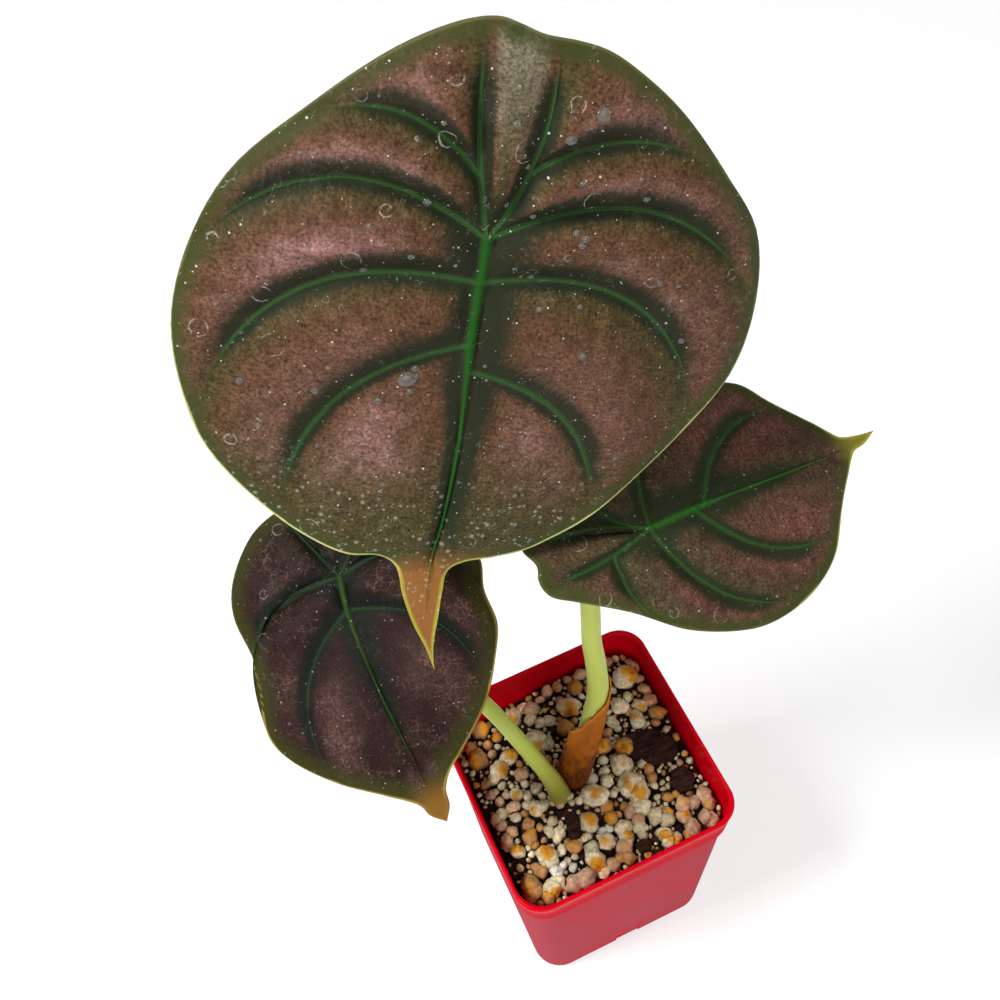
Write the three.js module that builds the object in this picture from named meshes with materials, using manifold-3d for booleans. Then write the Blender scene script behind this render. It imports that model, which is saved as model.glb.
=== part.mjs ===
// Potted red secret alocasia: a square nursery pot with a gritty mix, a bed of pumice and bark chips,
// three petioles that stand in holes in the mix, a dried leaf sheath and three shield-shaped blades.
// Millimetres. +Z is up, the origin is the centre of the pot's underside, and the pot's sides lie along X and Y.

import * as THREE from 'three';
import { mergeVertices } from 'three/addons/utils/BufferGeometryUtils.js';
import Module from 'manifold-3d';

const wasm = await Module();
wasm.setup();

// Pot
const POT_HEIGHT = 100;
const RIM_HALF = 38;
const BASE_HALF = 33.5;
const CORNER_RADIUS = 10;
const CORNER_STEPS = 5;
const RIM_BAND = 13;
const RIM_STEP = 0.7;
const WALL = 1.4;
const FLOOR = 1.6;
const NOTCH = { width: 9, height: 4, depth: 5 };

// Mix and its covering
const FIT_GAP = 0.3;
const MIX_LEVEL = 86;
const HOLLOW = { x: -30, y: 33, depth: 8, spread: 17 };
const MOUND = { x: -2, y: 0, height: 1.5, spread: 16 };
const BED_THICKNESS = 2;
const STONE = { pitch: 5.5, small: 2.6, large: 4.2, jitter: 2, proud: 0.6, seed: 11 };
const STEM_CLEAR = 7.5;
const BARK_CLEAR = 1.6;
const BARK = { thickness: 1.8, bevel: 0.5 };

// Stems: points along each centre line and [share of length, radius] pairs
const STEM_SIDES = 12;
const STEM_STEPS = 28;
const STEM_CROWDING = 1.4;
const STEM_HOLE_DEPTH = 72;
const HOLE_GAP = 0.35;
const PETIOLES = {
  big: {
    path: [
      [-3, 0.8, STEM_HOLE_DEPTH], [-3.2, 0.3, 89], [1.7, 1, 113.6], [5.8, 2.5, 129.5], [8, 4, 139],
      [8.5, 6, 152], [8.3, 8, 164], [9.5, 11, 180], [10.8, 16, 203], [10.5, 21.5, 222],
      [8.8, 28, 248], [6.6, 32.5, 268], [4.8, 36, 284], [3.3, 38.6, 293.5], [1.8, 39, 298.3], [0.7, 37.6, 300.4], [-0.3, 35, 301.8],
    ],
    radii: [[0, 3.1], [0.08, 3.2], [0.27, 3.3], [0.42, 2.8], [0.8, 2.5], [0.97, 2.3], [1, 1.9]],
  },
  right: {
    path: [
      [2.6, 4.6, STEM_HOLE_DEPTH], [2.8, 4.4, 90], [6.3, 6.6, 104.5], [10.6, 10, 116], [12.2, 12, 138],
      [11.9, 14.2, 152], [12.8, 16.5, 166], [15.2, 16.5, 180], [18.6, 13, 198], [20.9, 7, 212], [21.3, 3.2, 219.6],
    ],
    radii: [[0, 2.3], [0.2, 2.3], [0.6, 2.1], [0.95, 2], [1, 1.7]],
  },
  left: {
    path: [
      [-10.4, -6.4, STEM_HOLE_DEPTH], [-10.2, -5.4, 89], [-12.1, -3.5, 104], [-15, -1.5, 117], [-21.1, 4, 139],
      [-24.8, 9, 148.6], [-31, 16.5, 160], [-38, 25, 175], [-45, 33.5, 189], [-48.7, 37.8, 196.5], [-49.6, 37.2, 200.2],
    ],
    radii: [[0, 3.4], [0.12, 3.8], [0.2, 3.3], [0.3, 2.6], [0.6, 2.35], [0.95, 2.2], [1, 1.8]],
  },
};

// Dried sheath round the foot of the tallest petiole; angles in degrees, 0 faces +X
const SHEATH = {
  foot: 91,
  top: 139,
  thickness: 0.9,
  gap: 0.4,
  flare: 1.5,
  from: -205,
  to: 20,
  turns: 14,
  rows: 9,
  ragged: 5,
  tear: 17,
};

// Blades. A blade is drawn in its own plane: the petiole joins at 0, 0; +Y runs to the tip; +Z leaves the upper face.
// margin runs from the middle of the back edge round to the tip. Each rib is
// [place on the margin, root on the midrib, bow of its curve, lift of the surface], and a rib with no lift is a vein.
const BLADES = {
  big: {
    hub: [-1, 31.5, 303.4],
    azimuth: -12,
    elevation: 24,
    turn: -19.6,
    dome: [0.0018, 0.0005],
    puff: 4.2,
    wave: 0.5,
    rings: 8,
    midrib: [[0, 0], [-0.3, 20], [-2, 45], [-1.8, 66], [-1, 76], [-2.3, 94], [-5, 104], [-7.5, 111.5]],
    plus: {
      margin: [
        [0, -40.2], [4.5, -41], [10.5, -39.5], [22, -33], [36.5, -20.5], [50, -6], [57, 10], [59.5, 26],
        [57, 40], [50.5, 54.5], [34, 70], [25, 75], [18, 77], [11, 77], [7, 79.5], [4, 88], [0, 97],
        [-4, 104], [-7.5, 111.5],
      ],
      ribs: [
        [0, 0, 0, 0.8], [1.4, 0, -0.04, 0], [4.25, 0, 0.23, 0], [6.1, 0, 0.24, 0], [8.5, 9, 0.23, 0],
        [10, 22.5, 0.2, 0], [12.6, 66, 0.03, 0.45], [14.6, 80, 0, 0.15], [16, 94, 0, 0], [18, 111.5, 0, 0],
      ],
    },
    minus: {
      margin: [
        [0, -40.2], [-4, -39.3], [-11, -39], [-17.5, -38], [-25.5, -34.5], [-34.5, -29], [-47.5, -18],
        [-58, -7], [-62.5, 9], [-61.5, 26], [-53.5, 41.5], [-45.5, 52.5], [-37, 62.5], [-29.5, 69],
        [-23, 73.5], [-15.5, 75.5], [-9, 77], [-5.5, 80], [-5.2, 86], [-5.5, 94], [-6, 104], [-7.5, 111.5],
      ],
      ribs: [
        [0, 0, 0, 0.8], [1.15, 0, -0.05, 0], [5.6, 0, 0.2, 0], [7.9, 0, 0.21, 0], [9.75, 9, 0.23, 0],
        [12.1, 28.5, 0.19, 0], [15.4, 66, 0.03, 0.45], [17.8, 80, 0, 0.15], [19, 94, 0, 0], [21, 111.5, 0, 0],
      ],
    },
  },
  right: {
    hub: [21.7, 1.8, 222.8],
    azimuth: 18,
    elevation: 66,
    turn: 74.7,
    dome: [0.0045, 0.0012],
    puff: 2.4,
    wave: 0.6,
    rings: 6,
    midrib: [[0, 0], [0, 16], [1, 38], [1.6, 55], [1.6, 64], [0, 73]],
    plus: {
      margin: [
        [0, -30.7], [2, -31], [5, -29.6], [8.2, -25], [16, -13.7], [26, -1.2], [32.3, 14.4], [33.2, 23],
        [31, 34], [25, 44.5], [15.3, 52.4], [9.2, 57.4], [4.5, 61.7], [2.9, 64], [2.2, 68], [0, 73],
      ],
      ribs: [
        [0, 0, 0, 0.5], [1.2, 0, -0.05, 0], [4.85, 0, 0.25, 0], [7.9, 0, 0.18, 0], [9.5, 13, 0.17, 0],
        [11.4, 48, 0.03, 0.4], [12.8, 61, 0, 0.12], [15, 73, 0, 0],
      ],
    },
    minus: {
      margin: [
        [0, -30.7], [-3, -29.8], [-8, -31], [-12, -27.5], [-15.5, -16], [-23, -3.5], [-29, 8], [-31, 20],
        [-29.5, 32], [-25.3, 42.7], [-18, 48.3], [-9, 55.5], [-4.5, 59], [-2, 61.7], [-0.8, 66], [0, 73],
      ],
      ribs: [
        [0, 0, 0, 0.5], [2, 0, -0.06, 0], [4.6, 0, 0.25, 0], [7.2, 0, 0.14, 0], [10.2, 16, 0.17, 0],
        [11.5, 48, 0.03, 0.4], [12.8, 61, 0, 0.12], [15, 73, 0, 0],
      ],
    },
  },
  left: {
    hub: [-50.5, 36, 203.1],
    azimuth: -36,
    elevation: 60,
    turn: 30.8,
    dome: [0.004, 0.001],
    puff: 3,
    wave: 1.4,
    rings: 6,
    midrib: [[0, 0], [1.6, 9], [1.8, 30], [0.5, 50], [0, 60], [-1, 68.5]],
    plus: {
      margin: [
        [0, -20], [4, -22.5], [11, -22.8], [19, -20.5], [28, -11.6], [32, -2], [32, 9], [32.5, 18],
        [35.5, 30], [32.6, 38.5], [23, 49], [11.5, 56.6], [6.7, 59.6], [3.7, 62.5], [2.5, 65.5], [-1, 68.5],
      ],
      ribs: [
        [0, 0, 0, 0.4], [1.8, 0, 0, 0], [8.1, 0, 0.3, 0], [10, 9, 0.2, 0], [11.2, 42, 0.04, 0.35],
        [12.6, 57, 0, 0.1], [15, 68.5, 0, 0],
      ],
    },
    minus: {
      margin: [
        [0, -20], [-4, -22.5], [-11, -23], [-20, -19.5], [-29, -10], [-34.5, 2], [-35, 10], [-33, 17],
        [-33, 27], [-28.7, 35.4], [-22, 44.5], [-11, 54], [-7, 57], [-4, 61], [-3.2, 65], [-1, 68.5],
      ],
      ribs: [
        [0, 0, 0, 0.4], [3, 0, 0, 0], [6.6, 0, 0.22, 0], [9.2, 9, 0.2, 0], [11, 42, 0.04, 0.35],
        [12.4, 57, 0, 0.1], [15, 68.5, 0, 0],
      ],
    },
  },
};
const BLADE_THICKNESS = 1;
const MIDRIB_KEEL = 1.6;
const VEIN_KEEL = 0.7;
const RAY_SPACING = 0.5;
const PUFF_SKEW = 0.65;
const HUB_EASE = 0.3;
const FULL_RAY = 20;

// Bark chips: outline in the chip's own plane, centre on the bed, turn in degrees
const BARK_CHIPS = [
  {
    outline: [[-9, 0.7], [-2.4, -6.2], [4.2, -7.2], [7.6, -4.8], [7.8, -0.4], [3.5, 5.4], [-3.7, 7.4], [-9, 5]],
    at: [24.6, -1.9],
    turn: 0,
  },
  { outline: [[-4.8, 0.4], [-2.9, -3.8], [1.5, -4.2], [4, -0.9], [3, 4], [-1.2, 4.2]], at: [28.2, -16.4], turn: 0 },
  { outline: [[-2.9, -3.4], [-0.6, -4.5], [2, -1.3], [3.4, 3.6], [0.3, 4.6], [-2.2, 1]], at: [-11, -15.2], turn: 0 },
  { outline: [[-2.4, -1.7], [0.9, -2.4], [2.8, -0.2], [1.2, 2.2], [-2.4, 2.2]], at: [6.6, -30.2], turn: 8 },
];

const group = new THREE.Group();

function finish(color, roughness) {
  return new THREE.MeshStandardMaterial({ color, roughness, metalness: 0 });
}

function addPart(name, geometry, material) {
  const mesh = new THREE.Mesh(geometry, material);
  mesh.name = name;
  group.add(mesh);
}

function seededRandom(seed) {
  let state = seed;
  return () => {
    state = (state + 0x6d2b79f5) | 0;
    let t = Math.imul(state ^ (state >>> 15), 1 | state);
    t = (t + Math.imul(t ^ (t >>> 7), 61 | t)) ^ t;
    return ((t ^ (t >>> 14)) >>> 0) / 4294967296;
  };
}

function mergedPositions(geometry) {
  const bare = geometry.clone();
  bare.deleteAttribute('normal');
  bare.deleteAttribute('uv');
  return mergeVertices(bare, 1e-4);
}

function toSolid(geometry) {
  const merged = mergedPositions(geometry);
  return new wasm.Manifold(new wasm.Mesh({
    numProp: 3,
    vertProperties: Float32Array.from(merged.attributes.position.array),
    triVerts: Uint32Array.from(merged.index.array),
  }));
}

function toGeometry(solid) {
  const mesh = solid.getMesh();
  const geometry = new THREE.BufferGeometry();
  geometry.setAttribute('position', new THREE.BufferAttribute(mesh.vertProperties, 3));
  geometry.setIndex(new THREE.BufferAttribute(mesh.triVerts, 1));
  geometry.computeVertexNormals();
  return geometry;
}

// A closed body from points and triangles; triangles that have shrunk to a line are dropped.
function bodyFrom(points, triangles) {
  const geometry = new THREE.BufferGeometry().setFromPoints(points);
  geometry.setIndex(triangles);
  const merged = mergeVertices(geometry, 1e-4);
  const source = merged.index.array;
  const kept = [];
  for (let i = 0; i < source.length; i += 3) {
    const [a, b, c] = [source[i], source[i + 1], source[i + 2]];
    if (a !== b && b !== c && c !== a) kept.push(a, b, c);
  }
  merged.setIndex(kept);
  merged.computeVertexNormals();
  return merged;
}

// A body from a stack of rings of equal count; the first and last rings are single points repeated.
function loft(rings) {
  const count = rings[0].length;
  const triangles = [];
  for (let r = 0; r + 1 < rings.length; r += 1) {
    for (let i = 0; i < count; i += 1) {
      const a = r * count + i;
      const b = r * count + ((i + 1) % count);
      triangles.push(a, b, b + count, a, b + count, a + count);
    }
  }
  return bodyFrom(rings.flat(), triangles);
}

// A ring of points round a square with round corners; its straight sides can be cut into steps
function roundedSquare(half, radius, height, sideSteps = 1) {
  const corners = [];
  for (let corner = 0; corner < 4; corner += 1) {
    const middle = ((corner + 0.5) * Math.PI) / 2;
    const cx = Math.sign(Math.cos(middle)) * (half - radius);
    const cy = Math.sign(Math.sin(middle)) * (half - radius);
    for (let i = 0; i <= CORNER_STEPS; i += 1) {
      const angle = ((corner + i / CORNER_STEPS) * Math.PI) / 2;
      corners.push(new THREE.Vector3(cx + radius * Math.cos(angle), cy + radius * Math.sin(angle), height));
    }
  }
  return corners.flatMap((point, i) => {
    const steps = i % (CORNER_STEPS + 1) === CORNER_STEPS ? sideSteps : 1;
    const next = corners[(i + 1) % corners.length];
    return Array.from({ length: steps }, (_, k) => point.clone().lerp(next, k / steps));
  });
}

function centrePoint(height, sideSteps = 1) {
  return roundedSquare(0, 0, height, sideSteps);
}

// Half the pot's outside width at a height, below the rim band
function outerHalf(height) {
  return THREE.MathUtils.lerp(BASE_HALF, RIM_HALF - RIM_STEP - 0.6, height / (POT_HEIGHT - RIM_BAND));
}

function makePot() {
  const bandFoot = POT_HEIGHT - RIM_BAND;
  const inner = CORNER_RADIUS - WALL;
  const shell = toSolid(loft([
    centrePoint(0),
    roundedSquare(BASE_HALF - 1, CORNER_RADIUS - 1, 0),
    roundedSquare(BASE_HALF, CORNER_RADIUS, 1),
    roundedSquare(outerHalf(bandFoot), CORNER_RADIUS, bandFoot - 0.6),
    roundedSquare(RIM_HALF - 0.5, CORNER_RADIUS, bandFoot),
    roundedSquare(RIM_HALF, CORNER_RADIUS, POT_HEIGHT - 0.6),
    roundedSquare(RIM_HALF - 0.5, CORNER_RADIUS - 0.5, POT_HEIGHT),
    roundedSquare(RIM_HALF - WALL, inner, POT_HEIGHT - 0.4),
    roundedSquare(outerHalf(bandFoot) - WALL, inner, bandFoot - 0.6),
    roundedSquare(BASE_HALF - WALL, inner, FLOOR),
    centrePoint(FLOOR),
  ]));
  let pot = shell;
  for (let side = 0; side < 4; side += 1) {
    const notch = new THREE.BoxGeometry(NOTCH.width, NOTCH.depth, NOTCH.height * 2);
    notch.translate(0, -BASE_HALF, 0);
    notch.rotateZ((side * Math.PI) / 2);
    pot = pot.subtract(toSolid(notch));
  }
  return toGeometry(pot);
}

function bell(x, y, spot) {
  return Math.exp(-((x - spot.x) ** 2 + (y - spot.y) ** 2) / (2 * spot.spread ** 2));
}

// Height of the mix at a place
function mixHeight(x, y) {
  const grain = 0.5 * Math.sin(x * 0.45 + 1.3) * Math.cos(y * 0.38);
  return MIX_LEVEL - HOLLOW.depth * bell(x, y, HOLLOW) + MOUND.height * bell(x, y, MOUND) + grain;
}

// Half width of the space inside the pot at a height
function innerHalf(height) {
  return outerHalf(height) - WALL - FIT_GAP;
}

function draped(share, offset) {
  const half = innerHalf(MIX_LEVEL) - 0.4;
  return roundedSquare(half, CORNER_RADIUS - WALL, 0, DRAPE_SIDE_STEPS).map((p) => {
    const [x, y] = [p.x * share, p.y * share];
    return new THREE.Vector3(x, y, mixHeight(x, y) + offset);
  });
}

const DRAPE_SHARES = [0.98, 0.8, 0.6, 0.4, 0.2];
const DRAPE_SIDE_STEPS = 5;

// The mix with its top raised by a little; the raised one is the mould for what lies on it
function mixBody(raised) {
  const foot = FLOOR + FIT_GAP;
  const corner = CORNER_RADIUS - WALL;
  return toSolid(loft([
    centrePoint(foot, DRAPE_SIDE_STEPS),
    roundedSquare(innerHalf(foot), corner, foot, DRAPE_SIDE_STEPS),
    draped(1, raised - 4),
    ...DRAPE_SHARES.map((share) => draped(share, raised)),
    draped(0, raised),
  ]));
}

function cutAll(solid, cutters) {
  return cutters.reduce((left, cutter) => left.subtract(cutter), solid);
}

function onBark(x, y) {
  return BARK_CHIPS.some(({ outline, at, turn }) => {
    const local = new THREE.Vector2(x - at[0], y - at[1])
      .rotateAround(new THREE.Vector2(), -THREE.MathUtils.degToRad(turn));
    const [widths, lengths] = [outline.map((p) => p[0]), outline.map((p) => p[1])];
    return local.x > Math.min(...widths) - BARK_CLEAR && local.x < Math.max(...widths) + BARK_CLEAR
      && local.y > Math.min(...lengths) - BARK_CLEAR && local.y < Math.max(...lengths) + BARK_CLEAR;
  });
}

function onStem(x, y) {
  return Object.values(PETIOLES).some(({ path }) => Math.hypot(x - path[1][0], y - path[1][1]) < STEM_CLEAR);
}

function makePumice(holes) {
  const random = seededRandom(STONE.seed);
  const plate = toSolid(loft([
    draped(0, FIT_GAP),
    ...DRAPE_SHARES.toReversed().map((share) => draped(share, FIT_GAP)),
    ...DRAPE_SHARES.map((share) => draped(share * 0.99, FIT_GAP + BED_THICKNESS)),
    draped(0, FIT_GAP + BED_THICKNESS),
  ]));
  const reach = innerHalf(MIX_LEVEL) - STONE.large;
  const rows = Math.floor(reach / STONE.pitch);
  const stones = [];
  for (let row = -rows; row <= rows; row += 1) {
    for (let column = -rows; column <= rows; column += 1) {
      const x = column * STONE.pitch + (row % 2) * STONE.pitch * 0.4 + (random() - 0.5) * STONE.jitter;
      const y = row * STONE.pitch + (random() - 0.5) * STONE.jitter;
      const radius = THREE.MathUtils.lerp(STONE.small, STONE.large, random() ** 1.5);
      const turn = new THREE.Euler(random() * 6, random() * 6, random() * 6);
      const inside = Math.max(Math.abs(x), Math.abs(y)) < reach && Math.hypot(x, y) < reach * 1.3;
      if (!inside || onBark(x, y) || onStem(x, y)) continue;
      const stone = new THREE.IcosahedronGeometry(radius, 0);
      stone.scale(1, 0.86, 0.78);
      stone.applyMatrix4(new THREE.Matrix4().makeRotationFromEuler(turn));
      stone.translate(x, y, mixHeight(x, y) + FIT_GAP + BED_THICKNESS / 2 + radius * STONE.proud);
      stones.push(toSolid(stone));
    }
  }
  const bed = stones.reduce((solid, stone) => solid.add(stone), plate);
  return toGeometry(cutAll(bed, [mixBody(FIT_GAP), ...holes, ...BARK_CHIPS.map(barkMould)]));
}

// A flat chip with a small bevel; extra thickens it on all sides
function barkSlab(chip, extra) {
  const shape = new THREE.Shape(chip.outline.map(([x, y]) => new THREE.Vector2(x, y)));
  const slab = new THREE.ExtrudeGeometry(shape, {
    depth: BARK.thickness,
    bevelEnabled: true,
    bevelThickness: BARK.bevel + extra,
    bevelSize: BARK.bevel + extra,
    bevelSegments: 1,
  });
  slab.rotateZ(THREE.MathUtils.degToRad(chip.turn));
  const [x, y] = chip.at;
  slab.translate(x, y, mixHeight(x, y) + FIT_GAP + BED_THICKNESS);
  return mergedPositions(slab);
}

function barkMould(chip) {
  return toSolid(barkSlab(chip, FIT_GAP));
}

// Radius at a share of the length, from a list of [share, radius] pairs
function radiusAt(radii, share) {
  const next = radii.findIndex(([at]) => at >= share);
  if (next <= 0) return radii[0][1];
  const [a, ra] = radii[next - 1];
  const [b, rb] = radii[next];
  return THREE.MathUtils.lerp(ra, rb, (share - a) / (b - a));
}

function curveThrough(points) {
  return new THREE.CatmullRomCurve3(points.map((p) => new THREE.Vector3(...p)));
}

// A frame across a stem's curve that doesn't spin: its first direction stays near +X
function stemFrame(curve, share) {
  const centre = curve.getPointAt(share);
  const along = curve.getTangentAt(share);
  const across = new THREE.Vector3(1, 0, 0).addScaledVector(along, -along.x).normalize();
  return { centre, across, beside: along.clone().cross(across) };
}

// A turned profile bent along a curve; its steps crowd towards the top, where the stem turns into the blade
function makeStem({ path, radii }, extra = 0) {
  const curve = curveThrough(path);
  const profile = [new THREE.Vector2(0, 0)];
  for (let i = 0; i <= STEM_STEPS; i += 1) {
    const share = 1 - (1 - i / STEM_STEPS) ** STEM_CROWDING;
    profile.push(new THREE.Vector2(radiusAt(radii, share) + extra, share));
  }
  profile.push(new THREE.Vector2(0, 1));
  const stem = new THREE.LatheGeometry(profile, STEM_SIDES);
  const position = stem.attributes.position;
  for (let i = 0; i < position.count; i += 1) {
    const frame = stemFrame(curve, THREE.MathUtils.clamp(position.getY(i), 0, 1));
    const point = frame.centre
      .addScaledVector(frame.across, position.getX(i))
      .addScaledVector(frame.beside, -position.getZ(i));
    position.setXYZ(i, point.x, point.y, point.z);
  }
  return bodyFromIndexed(stem);
}

function bodyFromIndexed(geometry) {
  const merged = mergedPositions(geometry);
  const points = [];
  for (let i = 0; i < merged.attributes.position.count; i += 1) {
    points.push(new THREE.Vector3().fromBufferAttribute(merged.attributes.position, i));
  }
  return bodyFrom(points, Array.from(merged.index.array));
}

// A dry papery sleeve, open at the back, with a ragged slanting top and one side torn outwards
function makeSheath() {
  const { path, radii } = PETIOLES.big;
  const curve = curveThrough(path);
  const wall = (outward) => {
    const points = [];
    for (let column = 0; column <= SHEATH.turns; column += 1) {
      const turn = column / SHEATH.turns;
      const angle = THREE.MathUtils.degToRad(THREE.MathUtils.lerp(SHEATH.from, SHEATH.to, turn));
      const fall = SHEATH.tear * (1 - turn) ** 1.5 + SHEATH.ragged * Math.sin(column * 2.4) ** 2;
      const topShare = shareAtHeight(curve, SHEATH.top - fall);
      const footShare = shareAtHeight(curve, SHEATH.foot);
      for (let row = 0; row <= SHEATH.rows; row += 1) {
        const rise = row / SHEATH.rows;
        const share = THREE.MathUtils.lerp(footShare, topShare, rise);
        const frame = stemFrame(curve, share);
        const swell = SHEATH.flare * Math.sin(Math.PI * Math.min(1, rise * 1.3)) * (1 - turn);
        const radius = radiusAt(radii, share) + SHEATH.gap + swell + outward;
        points.push(frame.centre
          .addScaledVector(frame.across, radius * Math.cos(angle))
          .addScaledVector(frame.beside, radius * Math.sin(angle)));
      }
    }
    return points;
  };
  const outer = wall(SHEATH.thickness);
  const inner = wall(0);
  const high = SHEATH.rows + 1;
  const triangles = [];
  const quad = (a, b, c, d) => triangles.push(a, b, c, a, c, d);
  const shift = outer.length;
  for (let column = 0; column < SHEATH.turns; column += 1) {
    for (let row = 0; row < SHEATH.rows; row += 1) {
      const a = column * high + row;
      quad(a, a + high, a + high + 1, a + 1);
      quad(shift + a, shift + a + 1, shift + a + high + 1, shift + a + high);
    }
    const foot = column * high;
    const top = foot + SHEATH.rows;
    quad(foot, shift + foot, shift + foot + high, foot + high);
    quad(top, top + high, shift + top + high, shift + top);
  }
  for (let row = 0; row < SHEATH.rows; row += 1) {
    const last = SHEATH.turns * high + row;
    quad(row, row + 1, shift + row + 1, shift + row);
    quad(last, shift + last, shift + last + 1, last + 1);
  }
  return bodyFrom([...outer, ...inner], triangles);
}

function shareAtHeight(curve, height) {
  let [low, high] = [0, 1];
  for (let i = 0; i < 24; i += 1) {
    const middle = (low + high) / 2;
    if (curve.getPointAt(middle).z < height) low = middle;
    else high = middle;
  }
  return low;
}

// Lift between two ribs: zero on a vein, swelling between two of them
function liftBetween(a, b, share) {
  if (a === 0 && b === 0) return Math.sin(Math.PI * share);
  if (a === 0) return b * Math.sin((Math.PI / 2) * share);
  if (b === 0) return a * Math.cos((Math.PI / 2) * share);
  return THREE.MathUtils.lerp(a, b, share);
}

// Place on the margin, counted in its points, of the ray that leaves the midrib at a root
function edgeAt(half, root) {
  const next = half.ribs.findIndex((rib) => rib[1] >= root && rib[1] > 0);
  const [from, to] = [half.ribs[next - 1], half.ribs[next]];
  return THREE.MathUtils.lerp(from[0], to[0], (root - from[1]) / (to[1] - from[1]));
}

// Places along the midrib from which rays leave on both sides, so that the two halves meet there
function midribStations(blade) {
  const roots = [...blade.plus.ribs, ...blade.minus.ribs].map((rib) => rib[1]);
  const sorted = [...new Set(roots)].sort((a, b) => a - b);
  const stations = [];
  for (let i = 0; i + 1 < sorted.length; i += 1) {
    const [from, to] = [sorted[i], sorted[i + 1]];
    const spans = [blade.plus, blade.minus].map((half) => edgeAt(half, to) - edgeAt(half, from));
    const count = Math.ceil(Math.max(...spans) / RAY_SPACING);
    for (let k = 1; k <= count; k += 1) stations.push(THREE.MathUtils.lerp(from, to, k / count));
  }
  return stations;
}

// The rays of one half: first the fan behind the hub, then one from each station to the tip
function raysOf(half, stations) {
  const rays = [];
  const between = (i, share) => {
    const [a, b] = [half.ribs[i], half.ribs[i + 1]];
    const mixed = a.map((value, k) => THREE.MathUtils.lerp(value, b[k], share));
    const lift = liftBetween(a[3], b[3], share);
    const vein = (share === 0 && a[3] === 0) || (share === 1 && b[3] === 0);
    return { edge: mixed[0], root: mixed[1], bow: mixed[2], lift, vein };
  };
  rays.push(between(0, 0));
  let rib = 0;
  while (half.ribs[rib + 1][1] === 0) {
    const count = Math.ceil((half.ribs[rib + 1][0] - half.ribs[rib][0]) / RAY_SPACING);
    for (let k = 1; k <= count; k += 1) rays.push(between(rib, k / count));
    rib += 1;
  }
  for (const station of stations) {
    while (station > half.ribs[rib + 1][1]) rib += 1;
    const [from, to] = [half.ribs[rib][1], half.ribs[rib + 1][1]];
    rays.push(between(rib, (station - from) / (to - from)));
  }
  return rays;
}

function makeBlade(blade) {
  const midrib = curveThrough(blade.midrib.map(([x, y]) => [x, y, 0]));
  const tipRoot = blade.midrib.at(-1)[1];
  const stations = midribStations(blade);
  const onMidrib = (root) => {
    let [low, high] = [0, 1];
    for (let i = 0; i < 30; i += 1) {
      const middle = (low + high) / 2;
      if (midrib.getPoint(middle).y < root) low = middle;
      else high = middle;
    }
    return root >= tipRoot ? midrib.getPoint(1) : midrib.getPoint(low);
  };
  const raysWithPoints = (half, mirror) => {
    const margin = curveThrough(half.margin.map(([x, y]) => [x, y, 0]));
    return raysOf(half, stations).map((ray) => {
      const start = ray.root > 0 ? onMidrib(ray.root) : new THREE.Vector3();
      const end = margin.getPoint(ray.edge / (half.margin.length - 1));
      const chord = end.clone().sub(start);
      const normal = new THREE.Vector3(chord.y * mirror, -chord.x * mirror, 0);
      const control = start.clone().addScaledVector(chord, 0.5).addScaledVector(normal, 2 * ray.bow);
      const fullness = Math.min(1, chord.length() / FULL_RAY);
      return { ...ray, fullness, curve: new THREE.QuadraticBezierCurve3(start, control, end) };
    });
  };
  const plus = raysWithPoints(blade.plus, 1).reverse();
  const minus = raysWithPoints(blade.minus, -1);
  const rays = [...plus, ...minus.slice(1)];
  const place = bladePlace(blade);
  const upper = [];
  const lower = [];
  rays.forEach((ray) => {
    for (let ring = 0; ring <= blade.rings; ring += 1) {
      const s = (ring / blade.rings) ** 1.15;
      const flat = ray.curve.getPoint(s);
      const ease = ray.root > 0 ? 1 : THREE.MathUtils.smoothstep(s, 0, HUB_EASE);
      const swell = Math.sin(Math.PI * s ** PUFF_SKEW) ** 0.8;
      const ripple = blade.wave * ray.fullness * s ** 4 * Math.sin(ray.edge * 1.7);
      const dome = -blade.dome[0] * flat.x ** 2 - blade.dome[1] * flat.y ** 2;
      const height = dome + blade.puff * ray.lift * ease * (ring === blade.rings ? 0 : swell) + ripple;
      const keel = (ring === 0 ? MIDRIB_KEEL * (1 - ray.root / tipRoot) : 0)
        + (ray.vein && ring > 0 ? VEIN_KEEL * ray.fullness * (1 - s) : 0);
      upper.push(place(flat.x, flat.y, height));
      lower.push(place(flat.x, flat.y, height - BLADE_THICKNESS - keel));
    }
  });
  const wide = blade.rings + 1;
  const shift = upper.length;
  const triangles = [];
  for (let ray = 0; ray + 1 < rays.length; ray += 1) {
    for (let ring = 0; ring < blade.rings; ring += 1) {
      const a = ray * wide + ring;
      const b = a + wide;
      triangles.push(a, b, b + 1, a, b + 1, a + 1);
      triangles.push(shift + a, shift + b + 1, shift + b, shift + a, shift + a + 1, shift + b + 1);
    }
    const rim = ray * wide + blade.rings;
    triangles.push(rim, rim + wide, shift + rim + wide, rim, shift + rim + wide, shift + rim);
  }
  return bodyFrom([...upper, ...lower], triangles);
}

// From a blade's own plane to its place over the pot
function bladePlace({ hub, azimuth, elevation, turn }) {
  const [a, e, t] = [azimuth, elevation, turn].map(THREE.MathUtils.degToRad);
  const normal = new THREE.Vector3(Math.sin(a) * Math.cos(e), -Math.cos(a) * Math.cos(e), Math.sin(e));
  const level = new THREE.Vector3(Math.cos(a), Math.sin(a), 0);
  const uphill = normal.clone().cross(level);
  const toTip = level.multiplyScalar(Math.sin(t)).addScaledVector(uphill, -Math.cos(t));
  const across = toTip.clone().cross(normal);
  return (x, y, z) => new THREE.Vector3(...hub)
    .addScaledVector(across, x)
    .addScaledVector(toTip, y)
    .addScaledVector(normal, z);
}

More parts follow.
